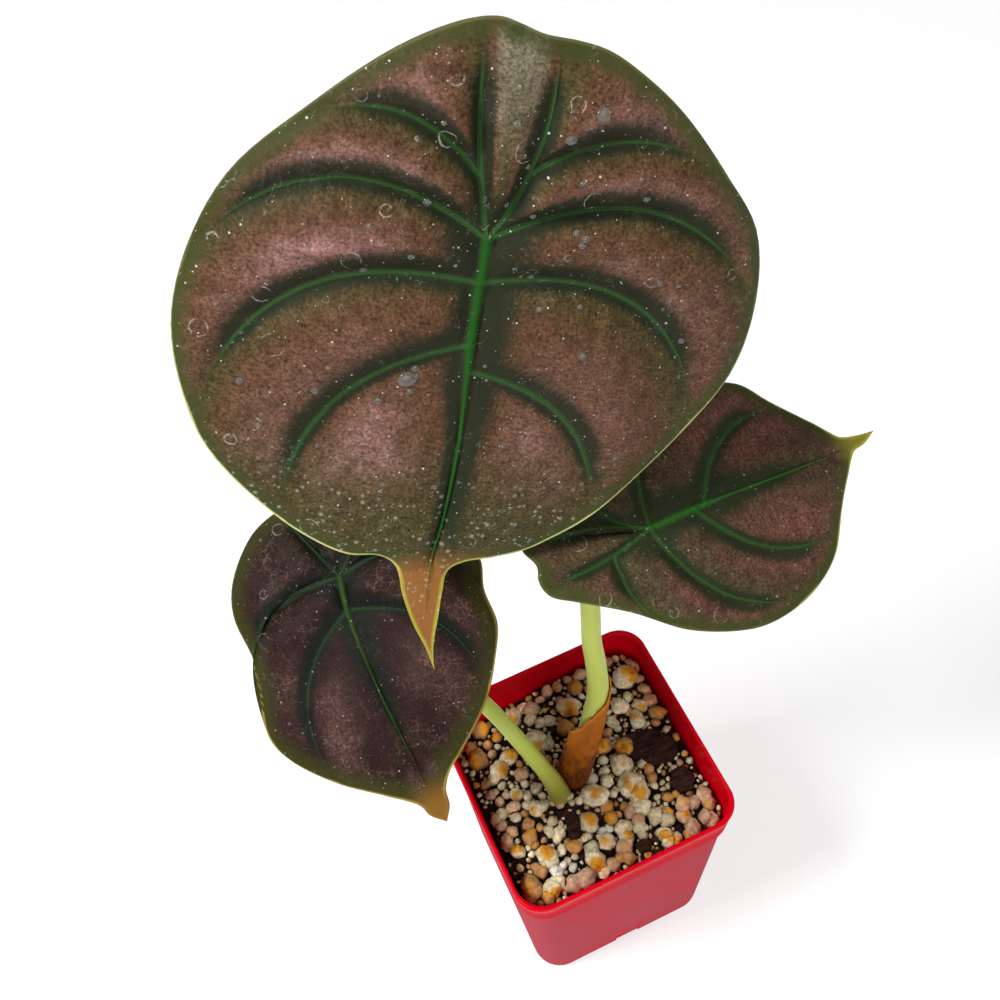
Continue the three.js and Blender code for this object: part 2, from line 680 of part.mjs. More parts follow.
const footRadius = (extra) => [[0, extra], [1, extra]];
const sheathReach = PETIOLES.big.radii[1][1] + SHEATH.gap + SHEATH.flare + SHEATH.thickness;
const stemHoles = [
  makeStem(PETIOLES.right, HOLE_GAP),
  makeStem(PETIOLES.left, HOLE_GAP),
  makeStem({ path: PETIOLES.big.path.slice(0, 4), radii: footRadius(sheathReach) }, HOLE_GAP),
].map(toSolid);

addPart('pot', makePot(), finish('#d4061f', 0.38));
addPart('potting_mix', toGeometry(cutAll(mixBody(0), stemHoles)), finish('#2a1c18', 0.95));
addPart('pumice_bed', makePumice(stemHoles), finish('#d8ccb0', 0.9));
BARK_CHIPS.forEach((chip, index) => addPart(`bark_chip_${index + 1}`, barkSlab(chip, 0), finish('#2a1818', 0.85)));
addPart('petiole_big', makeStem(PETIOLES.big), finish('#b8cc5c', 0.45));
addPart('petiole_right', makeStem(PETIOLES.right), finish('#aac455', 0.45));
addPart('petiole_left', makeStem(PETIOLES.left), finish('#a8c04c', 0.45));
addPart('dried_sheath', makeSheath(), finish('#8a4510', 0.7));
addPart('blade_big', makeBlade(BLADES.big), finish('#6b4444', 0.4));
addPart('blade_right', makeBlade(BLADES.right), finish('#5a3a38', 0.4));
addPart('blade_left', makeBlade(BLADES.left), finish('#3a2428', 0.4));

export default group;
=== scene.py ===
"""Visual model of a potted red secret alocasia.

A square nursery pot of red polypropylene holds a dark gritty mix, topped with pumice and bark chips. Three
quilted, shield-shaped leaves stand on fleshy petioles, the tallest wrapped at its foot in a dried sheath.
Every size in a class is in millimetres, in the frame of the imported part; meshes are in metres.
"""

import logging
import math
from dataclasses import dataclass, field
from enum import Enum

import bmesh
import bpy
import numpy as np
from mathutils import Euler, Matrix, Vector, noise
from mathutils.kdtree import KDTree


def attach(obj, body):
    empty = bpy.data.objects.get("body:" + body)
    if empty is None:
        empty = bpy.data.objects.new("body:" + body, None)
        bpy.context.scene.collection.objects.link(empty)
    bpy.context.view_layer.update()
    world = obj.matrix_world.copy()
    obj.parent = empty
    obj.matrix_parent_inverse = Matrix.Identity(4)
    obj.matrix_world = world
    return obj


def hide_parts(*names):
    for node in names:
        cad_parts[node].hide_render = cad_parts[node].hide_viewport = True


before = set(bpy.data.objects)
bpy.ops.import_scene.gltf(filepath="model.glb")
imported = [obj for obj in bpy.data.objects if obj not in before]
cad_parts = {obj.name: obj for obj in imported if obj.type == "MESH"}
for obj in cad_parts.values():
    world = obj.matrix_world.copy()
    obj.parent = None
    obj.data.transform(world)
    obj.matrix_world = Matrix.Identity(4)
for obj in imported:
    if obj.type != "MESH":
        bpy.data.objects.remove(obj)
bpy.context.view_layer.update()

logging.basicConfig(level=logging.INFO, format="%(message)s")
log = logging.getLogger("alocasia")

MM = 0.001
BODY = "root"

Colour = tuple[float, float, float, float]
Point = tuple[float, float, float]
Plan = tuple[float, float]


def linear(hex_colour: str) -> Colour:
    """Turn an sRGB hex value, as "#RRGGBB", into linear red, green and blue with an alpha of 1."""
    channels = [int(hex_colour[i : i + 2], 16) / 255 for i in (1, 3, 5)]
    return (*[c / 12.92 if c <= 0.04045 else ((c + 0.055) / 1.055) ** 2.4 for c in channels], 1.0)


def smoothstep(value: np.ndarray, low: float, high: float) -> np.ndarray:
    """Ease from 0 at low to 1 at high."""
    t = np.clip((value - low) / (high - low), 0.0, 1.0)
    return t * t * (3 - 2 * t)


def curve_through(points: np.ndarray, at: np.ndarray) -> np.ndarray:
    """Follow a centripetal Catmull-Rom curve.

    Args:
        points: The points that the curve goes through, one a row.
        at: Places on the curve, counted in points from 0.

    Returns:
        One point a row for each place.
    """
    whole = np.vstack([2 * points[0] - points[1], points, 2 * points[-1] - points[-2]])
    first = np.clip(np.floor(at).astype(int), 0, len(points) - 2)
    t = (at - first)[:, None]
    p0, p1, p2, p3 = (whole[first + k] for k in range(4))
    gaps = [np.sqrt(np.linalg.norm(b - a, axis=1, keepdims=True)) for a, b in ((p0, p1), (p1, p2), (p2, p3))]
    g0, g1, g2 = (np.maximum(g, 1e-4) for g in gaps)
    leave = ((p1 - p0) / g0 - (p2 - p0) / (g0 + g1) + (p2 - p1) / g1) * g1
    reach = ((p2 - p1) / g1 - (p3 - p1) / (g1 + g2) + (p3 - p2) / g2) * g1
    square = 3 * (p2 - p1) - 2 * leave - reach
    cube = 2 * (p1 - p2) + leave + reach
    return p1 + leave * t + square * t**2 + cube * t**3


def noise_at(x: np.ndarray, y: np.ndarray | float, z: float, size: float = 1.0) -> np.ndarray:
    """Smooth noise between -1 and 1.

    Args:
        x: Where it is read.
        y: The same, across.
        z: A level of its own for each use, so that no two patterns agree.
        size: Size of its features, in the units of x and y.

    Returns:
        The noise, in the shape of x.
    """
    x, y = np.broadcast_arrays(x, y)
    values = [noise.noise(Vector((a, b, z)) / size) for a, b in zip(x.ravel(), y.ravel())]
    return np.array(values).reshape(x.shape)


class Recipe:
    """The node tree of one material, round its one shader."""

    def __init__(self, name: str, **surface: float | Colour) -> None:
        """Start a material.

        Args:
            name: The material's name.
            surface: Shader sockets that are the same all over, with underscores for spaces.
        """
        self.material = bpy.data.materials.new(name)
        self.material.use_nodes = True
        self.tree = self.material.node_tree
        self.shader = self.tree.nodes["Principled BSDF"]
        for socket, value in surface.items():
            self.shader.inputs[socket.replace("_", " ")].default_value = value

    def add(
        self,
        kind: str,
        sockets: dict[int | str, object] | None = None,
        out: int | str = 0,
        **settings: object,
    ) -> bpy.types.NodeSocket:
        """Add one node.

        Args:
            kind: The node's type, without its ShaderNode prefix.
            sockets: What goes into each input: a value, or an output to link.
            out: The output wanted.
            settings: The node's own properties.

        Returns:
            The output socket.
        """
        node = self.tree.nodes.new("ShaderNode" + kind)
        for key, value in settings.items():
            setattr(node, key, value)
        for key, value in (sockets or {}).items():
            if isinstance(value, bpy.types.NodeSocket):
                self.tree.links.new(value, node.inputs[key])
            else:
                node.inputs[key].default_value = value
        return node.outputs[out]

    def finish(self, **sockets: bpy.types.NodeSocket) -> bpy.types.Material:
        """Link outputs to the shader.

        Args:
            sockets: What goes into each of its sockets, with underscores for spaces.

        Returns:
            The finished material.
        """
        for socket, value in sockets.items():
            self.tree.links.new(value, self.shader.inputs[socket.replace("_", " ")])
        return self.material


# Settings of a Mix node that mixes colours, and of a Map Range node with soft ends
RGBA = {"data_type": "RGBA"}
EASED = {"interpolation_type": "SMOOTHSTEP"}


def per_metre(size_mm: float) -> float:
    """The texture scale whose features are this large on Object coordinates."""
    return 1 / (size_mm * MM)


def as_piece(
    bm: bmesh.types.BMesh,
    name: str,
    material: bpy.types.Material,
    slot: str,
    *nodes: str,
    sharp: float = 50.0,
) -> bpy.types.Object:
    """Turn a bmesh into a smooth piece that rides on the part's body.

    Args:
        bm: The mesh, in metres. It is freed.
        name: The piece's name.
        material: Its finish.
        slot: The record's material slot meant for its finish; not used.
        nodes: The CAD nodes that it stands for.
        sharp: Edges that turn by more than this, in degrees, stay crisp.

    Returns:
        The new object.
    """
    for face in bm.faces:
        face.smooth = True
    for edge in bm.edges:
        if len(edge.link_faces) == 2:
            edge.smooth = edge.calc_face_angle(0.0) < math.radians(sharp)
    mesh = bpy.data.meshes.new(name)
    bm.to_mesh(mesh)
    bm.free()
    mesh.materials.append(material)
    piece = bpy.data.objects.new(name, mesh)
    bpy.context.scene.collection.objects.link(piece)
    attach(piece, BODY)
    if nodes:
        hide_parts(*nodes)
    log.info("%s: %d faces", name, len(mesh.polygons))
    return piece


def grid_shares(columns: int, rows: int) -> tuple[bmesh.types.BMesh, np.ndarray, np.ndarray]:
    """Make a flat grid to be bent by a formula.

    Args:
        columns: Cells along the first direction.
        rows: Cells along the second.

    Returns:
        The grid, and each vertex's column and row number.
    """
    bm = bmesh.new()
    bmesh.ops.create_grid(bm, x_segments=columns, y_segments=rows, size=0.5)
    flat = np.array([v.co[:2] for v in bm.verts]) + 0.5
    return bm, np.rint(flat[:, 0] * columns).astype(int), np.rint(flat[:, 1] * rows).astype(int)


def move_all(bm: bmesh.types.BMesh, points: np.ndarray) -> None:
    """Put each vertex at its point, given in millimetres."""
    for vertex, point in zip(bm.verts, points * MM):
        vertex.co = point


def close_up(bm: bmesh.types.BMesh) -> None:
    """Merge seams and poles and turn all faces outwards.

    Args:
        bm: The mesh, changed in place.
    """
    bmesh.ops.remove_doubles(bm, verts=bm.verts[:], dist=1e-6)
    bmesh.ops.dissolve_degenerate(bm, edges=bm.edges[:], dist=1e-7)
    bmesh.ops.recalc_face_normals(bm, faces=bm.faces[:])


# Finishes


@dataclass(frozen=True)
class RedPolypropylene:
    """Injection-moulded polypropylene: even red, satin, with a faint orange peel and a hazy film outside,
    partly painted floor reflection.
    """

    red: str = "#E20020"
    deep: str = "#C4000E"
    # Paler pink of the outer film: partly a real satin haze, partly painted reflection of the pale floor
    haze: str = "#B44C57"
    roughness: float = 0.3
    peel_mm: float = 0.9

    def material(self) -> bpy.types.Material:
        """Build the material; the film follows the pot's own haze attribute, and its paler pink is partly
        painted reflection of the floor.

        Returns:
            The pot's finish.
        """
        r = Recipe("moulded_polypropylene_red", IOR=1.14)
        place = r.add("TexCoord", out="Object")
        cloud = r.add("TexNoise", {"Vector": place, "Scale": per_metre(22), "Detail": 3.0})
        body = r.add("Mix", {0: cloud, 6: linear(self.red), 7: linear(self.deep)}, 2, **RGBA)
        # Painted reflection: the outer walls mix in a paler pink, partly real film and partly the floor's
        # reflection
        film = r.add("Attribute", out="Fac", attribute_name="haze")
        streak = r.add("MapRange", {0: cloud, 1: 0.3, 2: 0.7, 3: 0.7, 4: 1.05})
        amount = r.add("Math", {0: film, 1: streak}, operation="MULTIPLY")
        colour = r.add("Mix", {0: amount, 6: body, 7: linear(self.haze)}, 2, **RGBA)
        rough = r.add("MapRange", {0: amount, 1: 0.0, 2: 0.25, 3: self.roughness, 4: 0.95})
        peel = r.add("TexNoise", {"Vector": place, "Scale": per_metre(self.peel_mm), "Detail": 2.0})
        bump = r.add("Bump", {"Strength": 0.05, "Distance": 0.0002, "Height": peel})
        return r.finish(Base_Color=colour, Roughness=rough, Normal=bump)


@dataclass(frozen=True)
class DampMix:
    """Damp peat and composted bark: nearly black, fibrous, with browner crumbs and a dull wet glint."""

    peat: str = "#100704"
    crumb: str = "#4C2A1A"
    crumb_mm: float = 1.8

    def material(self) -> bpy.types.Material:
        """Build the material.

        Returns:
            The mix's finish.
        """
        r = Recipe("damp_peat_and_bark_mix", Specular_IOR_Level=0.15)
        place = r.add("TexCoord", out="Object")
        crumbs = r.add("TexVoronoi", {"Vector": place, "Scale": per_metre(self.crumb_mm)}, "Color")
        tone = r.add("SeparateColor", {0: crumbs})
        dark = r.add("TexNoise", {"Vector": place, "Scale": per_metre(6), "Detail": 5.0})
        share = r.add("Math", {0: tone, 1: dark}, operation="MULTIPLY")
        amount = r.add("MapRange", {0: share, 1: 0.2, 2: 0.6})
        colour = r.add("Mix", {0: amount, 6: linear(self.peat), 7: linear(self.crumb)}, 2, **RGBA)
        grit = r.add("TexNoise", {"Vector": place, "Scale": per_metre(0.8), "Detail": 6.0})
        bump = r.add("Bump", {"Strength": 0.6, "Distance": 0.0006, "Height": grit})
        rough = r.add("MapRange", {0: grit, 1: 0.35, 2: 0.65, 3: 0.5, 4: 0.95})
        return r.finish(Base_Color=colour, Roughness=rough, Normal=bump)


@dataclass(frozen=True)
class Pumice:
    """Washed pumice: each stone its own cream, pink or grey, pitted with gas holes, stained orange, and
    darker below with soil and painted shade.
    """

    rust: str = "#E09A1C"
    rust_core: str = "#B05E0A"
    pit: str = "#5A4230"
    # Dark brown of the soil and painted shade on each stone's lower side
    soil_and_shade: str = "#2E1C12"
    pit_mm: float = 0.55

    def material(self) -> bpy.types.Material:
        """Build the material; tone, rust and skirt come from the stones' attributes, the skirt being soil and
        painted shade on each stone's lower side.

        Returns:
            The stones' finish.
        """
        r = Recipe("washed_pumice", Specular_IOR_Level=0.45)
        place = r.add("TexCoord", out="Object")
        tone = r.add("Attribute", out="Color", attribute_name="tone")
        uneven = {"Detail": 6.0, "Roughness": 0.65}
        mottle = r.add("TexNoise", {"Vector": place, "Scale": per_metre(1.6), **uneven})
        shade = r.add("MapRange", {0: mottle, 1: 0.34, 2: 0.66, 3: 0.5, 4: 1.25})
        grey = r.add("CombineColor", {0: shade, 1: shade, 2: shade})
        stone = r.add("Mix", {0: 1.0, 6: tone, 7: grey}, 2, blend_type="MULTIPLY", **RGBA)
        rusty = r.add("Attribute", out="Fac", attribute_name="rust")
        cloud = r.add("TexNoise", {"Vector": place, "Scale": per_metre(3.6), "Detail": 4.0})
        both = r.add("Math", {0: rusty, 1: cloud}, operation="MULTIPLY")
        stain = r.add("MapRange", {0: both, 1: 0.15, 2: 0.33}, **EASED)
        core = r.add("MapRange", {0: both, 1: 0.36, 2: 0.52}, **EASED)
        rust = r.add("Mix", {0: core, 6: linear(self.rust), 7: linear(self.rust_core)}, 2, **RGBA)
        stained = r.add("Mix", {0: stain, 6: stone, 7: rust}, 2, **RGBA)
        holes = r.add("TexVoronoi", {"Vector": place, "Scale": per_metre(self.pit_mm)})
        pit = r.add("MapRange", {0: holes, 1: 0.12, 2: 0.3, 3: 0.55, 4: 0.0})
        sparse = r.add("MapRange", {0: mottle, 1: 0.45, 2: 0.6})
        pitted = r.add("Math", {0: pit, 1: sparse}, operation="MULTIPLY")
        porous = r.add("Mix", {0: pitted, 6: stained, 7: linear(self.pit)}, 2, **RGBA)
        # Soil and painted shade: each stone darkens towards its underside
        skirt = r.add("Attribute", out="Fac", attribute_name="skirt")
        ragged = r.add("Math", {0: skirt, 1: mottle}, operation="MULTIPLY")
        soil_and_shade_share = r.add("MapRange", {0: ragged, 1: 0.16, 2: 0.46}, **EASED)
        colour = r.add("Mix", {0: soil_and_shade_share, 6: porous, 7: linear(self.soil_and_shade)}, 2, **RGBA)
        dents = r.add("Math", {0: mottle, 1: pitted}, operation="SUBTRACT")
        bump = r.add("Bump", {"Strength": 0.75, "Distance": 0.0006, "Height": dents})
        rough = r.add("MapRange", {0: mottle, 1: 0.35, 2: 0.65, 3: 0.45, 4: 0.8})
        return r.finish(Base_Color=colour, Roughness=rough, Normal=bump)


@dataclass(frozen=True)
class FirBark:
    """Weathered fir bark: dark purplish brown plates with long grain and a damp sheen."""

    dark: str = "#200D08"
    light: str = "#45281E"
    grain_mm: float = 1.1

    def material(self) -> bpy.types.Material:
        """Build the material; the grain is stretched along X.

        Returns:
            The bark's finish.
        """
        r = Recipe("weathered_fir_bark", Specular_IOR_Level=0.15)
        place = r.add("TexCoord", out="Object")
        long = r.add("Mapping", {"Vector": place, "Scale": (0.3, 1.0, 1.6)})
        grain = r.add("TexNoise", {"Vector": long, "Scale": per_metre(self.grain_mm), "Detail": 5.0})
        amount = r.add("MapRange", {0: grain, 1: 0.4, 2: 0.72})
        colour = r.add("Mix", {0: amount, 6: linear(self.dark), 7: linear(self.light)}, 2, **RGBA)
        bump = r.add("Bump", {"Strength": 0.7, "Distance": 0.0006, "Height": grain})
        rough = r.add("MapRange", {0: grain, 3: 0.4, 4: 0.8})
        return r.finish(Base_Color=colour, Roughness=rough, Normal=bump)


@dataclass(frozen=True)
class FleshyStalk:
    """Fleshy aroid petiole: waxy pale yellow-green with faint ribs and flecks, olive up to foot_top.

    foot_top is the share of the stalk's length at which the olive of its foot has faded.
    """

    name: str
    pale: str = "#C4D062"
    streak: str = "#BCCA58"
    foot: str = "#74700A"
    fleck: str = "#7A6A2C"
    foot_top: float = 0.2
    rib_mm: float = 0.9

    def material(self) -> bpy.types.Material:
        """Build the material; its streaks follow the stalk's own UV map, which is in millimetres.

        Returns:
            The stalk's finish.
        """
        r = Recipe(self.name, Specular_IOR_Level=0.25, Subsurface_Weight=0.12, Subsurface_Scale=0.002)
        lay = r.add("UVMap", uv_map="stalk_mm")
        long = r.add("Mapping", {"Vector": lay, "Scale": (1.0, 0.05, 1.0)})
        ribs = r.add("TexNoise", {"Vector": long, "Scale": 1 / self.rib_mm, "Detail": 3.0})
        flush = r.add("Attribute", out="Fac", attribute_name="along")
        waxy = r.add("MapRange", {0: ribs, 1: 0.35, 2: 0.7})
        green = r.add("Mix", {0: waxy, 6: linear(self.pale), 7: linear(self.streak)}, 2, **RGBA)
        low = r.add("MapRange", {0: flush, 1: 0.0, 2: self.foot_top, 3: 1.0, 4: 0.0}, **EASED)
        colour = r.add("Mix", {0: low, 6: green, 7: linear(self.foot)}, 2, **RGBA)
        fleck = r.add("TexVoronoi", {"Vector": lay, "Scale": 0.35})
        spot = r.add("MapRange", {0: fleck, 1: 0.05, 2: 0.09, 3: 0.5, 4: 0.0})
        flecked = r.add("Mix", {0: spot, 6: colour, 7: linear(self.fleck)}, 2, **RGBA)
        bump = r.add("Bump", {"Strength": 0.05, "Distance": 0.0003, "Height": ribs})
        rough = r.add("MapRange", {0: ribs, 3: 0.3, 4: 0.48})
        return r.finish(Base_Color=flecked, Roughness=rough, Normal=bump)


@dataclass(frozen=True)
class DrySheath:
    """Dried leaf sheath: papery, amber where it is thin or torn, dark brown where it is wet."""

    amber: str = "#C8780E"
    tan: str = "#A2560C"
    wet: str = "#481A04"

    def material(self) -> bpy.types.Material:
        """Build the material; height and edge come from the sheath's attributes.

        Returns:
            The sheath's finish.
        """
        thin_paper = {"Subsurface_Weight": 0.05, "Subsurface_Scale": 0.001}
        r = Recipe("dried_papery_sheath", Specular_IOR_Level=0.2, **thin_paper)
        place = r.add("TexCoord", out="Object")
        rise = r.add("Attribute", out="Fac", attribute_name="rise")
        long = r.add("Mapping", {"Vector": place, "Scale": (1.0, 1.0, 0.14)})
        fibre = r.add("TexNoise", {"Vector": long, "Scale": per_metre(0.9), "Detail": 5.0})
        cloud = r.add("TexNoise", {"Vector": place, "Scale": per_metre(5), "Detail": 3.0})
        shift = r.add("MapRange", {0: cloud, 1: 0.3, 2: 0.7, 3: -0.22, 4: 0.22})
        level = r.add("Math", {0: rise, 1: shift}, operation="ADD")
        dry = r.add("MapRange", {0: level, 1: 0.3, 2: 0.62}, **EASED)
        base = r.add("Mix", {0: dry, 6: linear(self.wet), 7: linear(self.tan)}, 2, **RGBA)
        thin = r.add("Attribute", out="Fac", attribute_name="torn")
        fibres = r.add("MapRange", {0: fibre, 1: 0.35, 2: 0.7, 3: 0.0, 4: 0.3})
        edge = r.add("Math", {0: thin, 1: fibres}, operation="ADD", use_clamp=True)
        colour = r.add("Mix", {0: edge, 6: base, 7: linear(self.amber)}, 2, **RGBA)
        bump = r.add("Bump", {"Strength": 0.4, "Distance": 0.0004, "Height": fibre})
        rough = r.add("MapRange", {0: fibre, 3: 0.42, 4: 0.75})
        return r.finish(Base_Color=colour, Roughness=rough, Normal=bump)


@dataclass(frozen=True)
class LeafSkin:
    """Living leaf skin of a quilted alocasia.

    The eye gets pink-maroon flanks, partly the leaf's own colour and partly painted sheen where they face the
    light, on a bronze ground with olive, partly painted shade, on the flanks that face away; dark green
    valleys darkened with painted shade, with brighter veins in them; an olive margin with a thin painted
    highlight where its lower rim catches the light; an ochre tip, a low gloss, fine pores, and the specks,
    arcs and film of dried water.

    Attributes:
        name: The material's name.
        ground, crown, olive: Between the veins: the low ground, the swellings, their pink partly painted
            sheen, and the green parts, partly painted shade.
        valley, vein, rib: Along the veins: the valleys' painted shade, the side veins and the midrib.
        margin, edge: The band inside the outline, and the painted highlight where the rim catches the light
            along it.
        tip, tip_rim_highlight: The drip tip and the painted rim highlight along it.
        pale: The faded panel at the back of the midrib.
        under, under_vein: The underside and its veins.
        pore, thread, residue: Pores, the finest veinlets and dried water.
        gloss: Specular level of the skin.
        dust: How strongly dried water shows.
        film_from: Distance ahead of the hub, in millimetres, from which dried water lies in a film.
        rim_highlight_from: The same for the painted rim highlight along the outline.
        margin_mm: Width of the margin's band.
        veinlets: How strongly the finest veinlets show.
    """

    name: str
    ground: str
    crown: str
    olive: str
    valley: str
    vein: str
    rib: str
    margin: str
    edge: str
    tip: str
    tip_rim_highlight: str = "#B4AC3E"
    pale: str = "#7E7862"
    under: str = "#5A323A"
    under_vein: str = "#8C7058"
    pore: str = "#18100A"
    thread: str = "#96684E"
    residue: str = "#C9CCC0"
    gloss: float = 0.1
    dust: float = 1.0
    film_from: float = 48.0
    rim_highlight_from: float = 30.0
    margin_mm: float = 5.0
    veinlets: float = 0.0

    def material(self) -> bpy.types.Material:
        """Build the material; all its regions follow the blade's own attributes.

        Returns:
            The leaf's finish.
        """
        r = Recipe(self.name, Specular_IOR_Level=self.gloss, IOR=1.45)
        lay = r.add("UVMap", uv_map="leaf_mm")
        part = {
            key: r.add("Attribute", out="Fac", attribute_name=key)
            for key in ("crown", "olive", "valley", "vein", "rib", "rim", "tip", "pale", "under")
        }
        across = r.add("UVMap", uv_map="vein_mm")
        combed = r.add("Mapping", {"Vector": across, "Scale": (1.0, 0.16, 1.0)})
        streak = r.add("TexNoise", {"Vector": combed, "Scale": 1 / 0.75, "Detail": 4.0, "Roughness": 0.6})
        cloud = r.add("TexNoise", {"Vector": lay, "Scale": 1 / 12, "Detail": 3.0, "Roughness": 0.6})
        mottle = r.add("TexNoise", {"Vector": lay, "Scale": 1 / 3.2, "Detail": 4.0, "Roughness": 0.65})
        grain = r.add("TexNoise", {"Vector": lay, "Scale": 1 / 0.75, "Detail": 5.0, "Roughness": 0.7})

        # Olive lies on the flanks that face away from the light, partly painted shade; the crown's pink lies
        # on the flanks that face it, partly the leaf's own colour and partly painted sheen
        shift = r.add("MapRange", {0: streak, 1: 0.3, 2: 0.7, 3: -0.2, 4: 0.2})
        olive = r.add("Math", {0: part["olive"], 1: shift}, operation="ADD", use_clamp=True)
        cloudy = r.add("MapRange", {0: cloud, 1: 0.34, 2: 0.62, 3: 0.3, 4: 1.25})
        streaky = r.add("MapRange", {0: streak, 1: 0.3, 2: 0.7, 3: 0.55, 4: 1.4})
        pink = r.add("Math", {0: part["crown"], 1: cloudy}, operation="MULTIPLY")
        pink = r.add("Math", {0: pink, 1: streaky}, operation="MULTIPLY", use_clamp=True)
        top = r.add("Mix", {0: olive, 6: linear(self.ground), 7: linear(self.olive)}, 2, **RGBA)
        lace = self.lace(r, lay, cloud)
        for share, paint in ((pink, self.crown), (part["pale"], self.pale), (lace, self.thread)):
            top = r.add("Mix", {0: share, 6: top, 7: linear(paint)}, 2, **RGBA)
        fine = r.add("MapRange", {0: grain, 1: 0.34, 2: 0.66, 3: 0.34, 4: 1.54})
        broad = r.add("MapRange", {0: mottle, 1: 0.34, 2: 0.66, 3: 0.7, 4: 1.32})
        light = r.add("Math", {0: fine, 1: broad}, operation="MULTIPLY")
        tint = r.add("CombineColor", {0: light, 1: light, 2: light})
        top = r.add("Mix", {0: 1.0, 6: top, 7: tint}, 2, blend_type="MULTIPLY", **RGBA)

        # Painted shade: the valleys beside the veins and the midrib darken to the valley colour, with ragged
        # edges
        ragged = r.add("MapRange", {0: streak, 1: 0.3, 2: 0.7, 3: -0.17, 4: 0.17})
        deep = r.add("Math", {0: part["valley"], 1: ragged}, operation="ADD", use_clamp=True)
        dark = r.add("MapRange", {0: deep, 1: 0.06, 2: 0.66, 3: 0.0, 4: 0.92}, **EASED)
        still = r.add("MapRange", {0: part["valley"], 1: 0.02, 2: 0.2})
        dark = r.add("Math", {0: dark, 1: still}, operation="MULTIPLY")
        top = r.add("Mix", {0: dark, 6: top, 7: linear(self.valley)}, 2, **RGBA)

        wavy = r.add("MapRange", {0: mottle, 1: 0.3, 2: 0.7, 3: -0.9, 4: 0.9})
        inward = r.add("Math", {0: part["rim"], 1: wavy}, operation="ADD")
        band = r.add("MapRange", {0: inward, 1: 1.0, 2: self.margin_mm, 3: 0.9, 4: 0.0}, **EASED)
        top = r.add("Mix", {0: band, 6: top, 7: linear(self.margin)}, 2, **RGBA)
        for key, paint in (("tip", self.tip), ("vein", self.vein), ("rib", self.rib)):
            top = r.add("Mix", {0: part[key], 6: top, 7: linear(paint)}, 2, **RGBA)
        ahead = r.add("SeparateXYZ", {0: lay}, "Y")
        # Painted highlight: a thin pale line where the rim catches the light, fading towards the back of the
        # blade
        lower = r.add("MapRange", {0: ahead, 1: self.rim_highlight_from - 18, 2: self.rim_highlight_from + 18, 3: 0.12, 4: 1.0})
        lip = r.add("MapRange", {0: part["rim"], 1: 0.2, 2: 0.65, 3: 0.95, 4: 0.0})
        lip = r.add("Math", {0: lip, 1: lower}, operation="MULTIPLY")
        rim_highlight = r.add("Mix", {0: part["tip"], 6: linear(self.edge), 7: linear(self.tip_rim_highlight)}, 2, **RGBA)
        top = r.add("Mix", {0: lip, 6: top, 7: rim_highlight}, 2, **RGBA)

        pore = self.spots(r, lay, 1.15, 0.07, 0.14, 0.35, 0.6)
        top = r.add("Mix", {0: pore, 6: top, 7: linear(self.pore)}, 2, **RGBA)
        marks = self.residue_marks(r, lay, cloud, mottle, ahead)
        top = r.add("Mix", {0: marks, 6: top, 7: linear(self.residue)}, 2, **RGBA)

        below = r.add("Mix", {0: part["vein"], 6: linear(self.under), 7: linear(self.under_vein)}, 2, **RGBA)
        below = r.add("Mix", {0: 1.0, 6: below, 7: tint}, 2, blend_type="MULTIPLY", **RGBA)
        colour = r.add("Mix", {0: part["under"], 6: top, 7: below}, 2, **RGBA)

        pitted = r.add("Math", {0: grain, 1: pore}, operation="SUBTRACT")
        relief = r.add("Math", {0: pitted, 1: mottle}, operation="ADD")
        bump = r.add("Bump", {"Strength": 0.45, "Distance": 0.0005, "Height": relief})
        rough = r.add("MapRange", {0: grain, 1: 0.3, 2: 0.7, 3: 0.34, 4: 0.55})
        return r.finish(Base_Color=colour, Roughness=rough, Normal=bump)

    @staticmethod
    def spots(
        r: Recipe,
        lay: bpy.types.NodeSocket,
        spacing: float,
        core: float,
        reach: float,
        kept: float,
        strength: float,
    ) -> bpy.types.NodeSocket:
        """Scatter small round spots.

        Args:
            r: The recipe to add to.
            lay: Coordinates on the blade, in millimetres.
            spacing: Distance between possible spots, in millimetres.
            core: Share of the spacing that a spot is solid for.
            reach: Share of the spacing at which it has faded.
            kept: Share of the possible spots that are left out.
            strength: The spots' strength.

        Returns:
            Their strength at each point.
        """
        gap = r.add("TexVoronoi", {"Vector": lay, "Scale": 1 / spacing})
        owner = r.add("TexVoronoi", {"Vector": lay, "Scale": 1 / spacing}, "Color")
        chance = r.add("SeparateColor", {0: owner})
        size = r.add("SeparateColor", {0: owner}, "Green")
        grown = r.add("MapRange", {0: size, 3: 1.7, 4: 0.75})
        gap = r.add("Math", {0: gap, 1: grown}, operation="MULTIPLY")
        spot = r.add("MapRange", {0: gap, 1: core, 2: reach, 3: strength, 4: 0.0})
        there = r.add("MapRange", {0: chance, 1: kept, 2: kept + 0.03})
        return r.add("Math", {0: spot, 1: there}, operation="MULTIPLY")

    def lace(self, r: Recipe, lay: bpy.types.NodeSocket, cloud: bpy.types.NodeSocket) -> bpy.types.NodeSocket:
        """Net of the finest veinlets, which shows in places only.

        Args:
            r: The recipe to add to.
            lay: Coordinates on the blade, in millimetres.
            cloud: A broad noise that says where it shows.

        Returns:
            The net's strength.
        """
        bend = r.add("TexNoise", {"Vector": lay, "Scale": 1 / 2.5, "Detail": 3.0}, "Color")
        pull = r.add("Mix", {0: 0.0016, 6: (0, 0, 0, 1), 7: bend}, 2, **RGBA)
        loose = r.add("VectorMath", {0: pull, 1: (1000, 1000, 0)}, operation="MULTIPLY")
        place = r.add("VectorMath", {0: lay, 1: loose}, operation="ADD")
        net = r.add("TexVoronoi", {"Vector": place, "Scale": 1 / 2.4}, feature="DISTANCE_TO_EDGE")
        line = r.add("MapRange", {0: net, 1: 0.015, 2: 0.05, 3: self.veinlets, 4: 0.0})
        where = r.add("MapRange", {0: cloud, 1: 0.46, 2: 0.6})
        return r.add("Math", {0: line, 1: where}, operation="MULTIPLY")

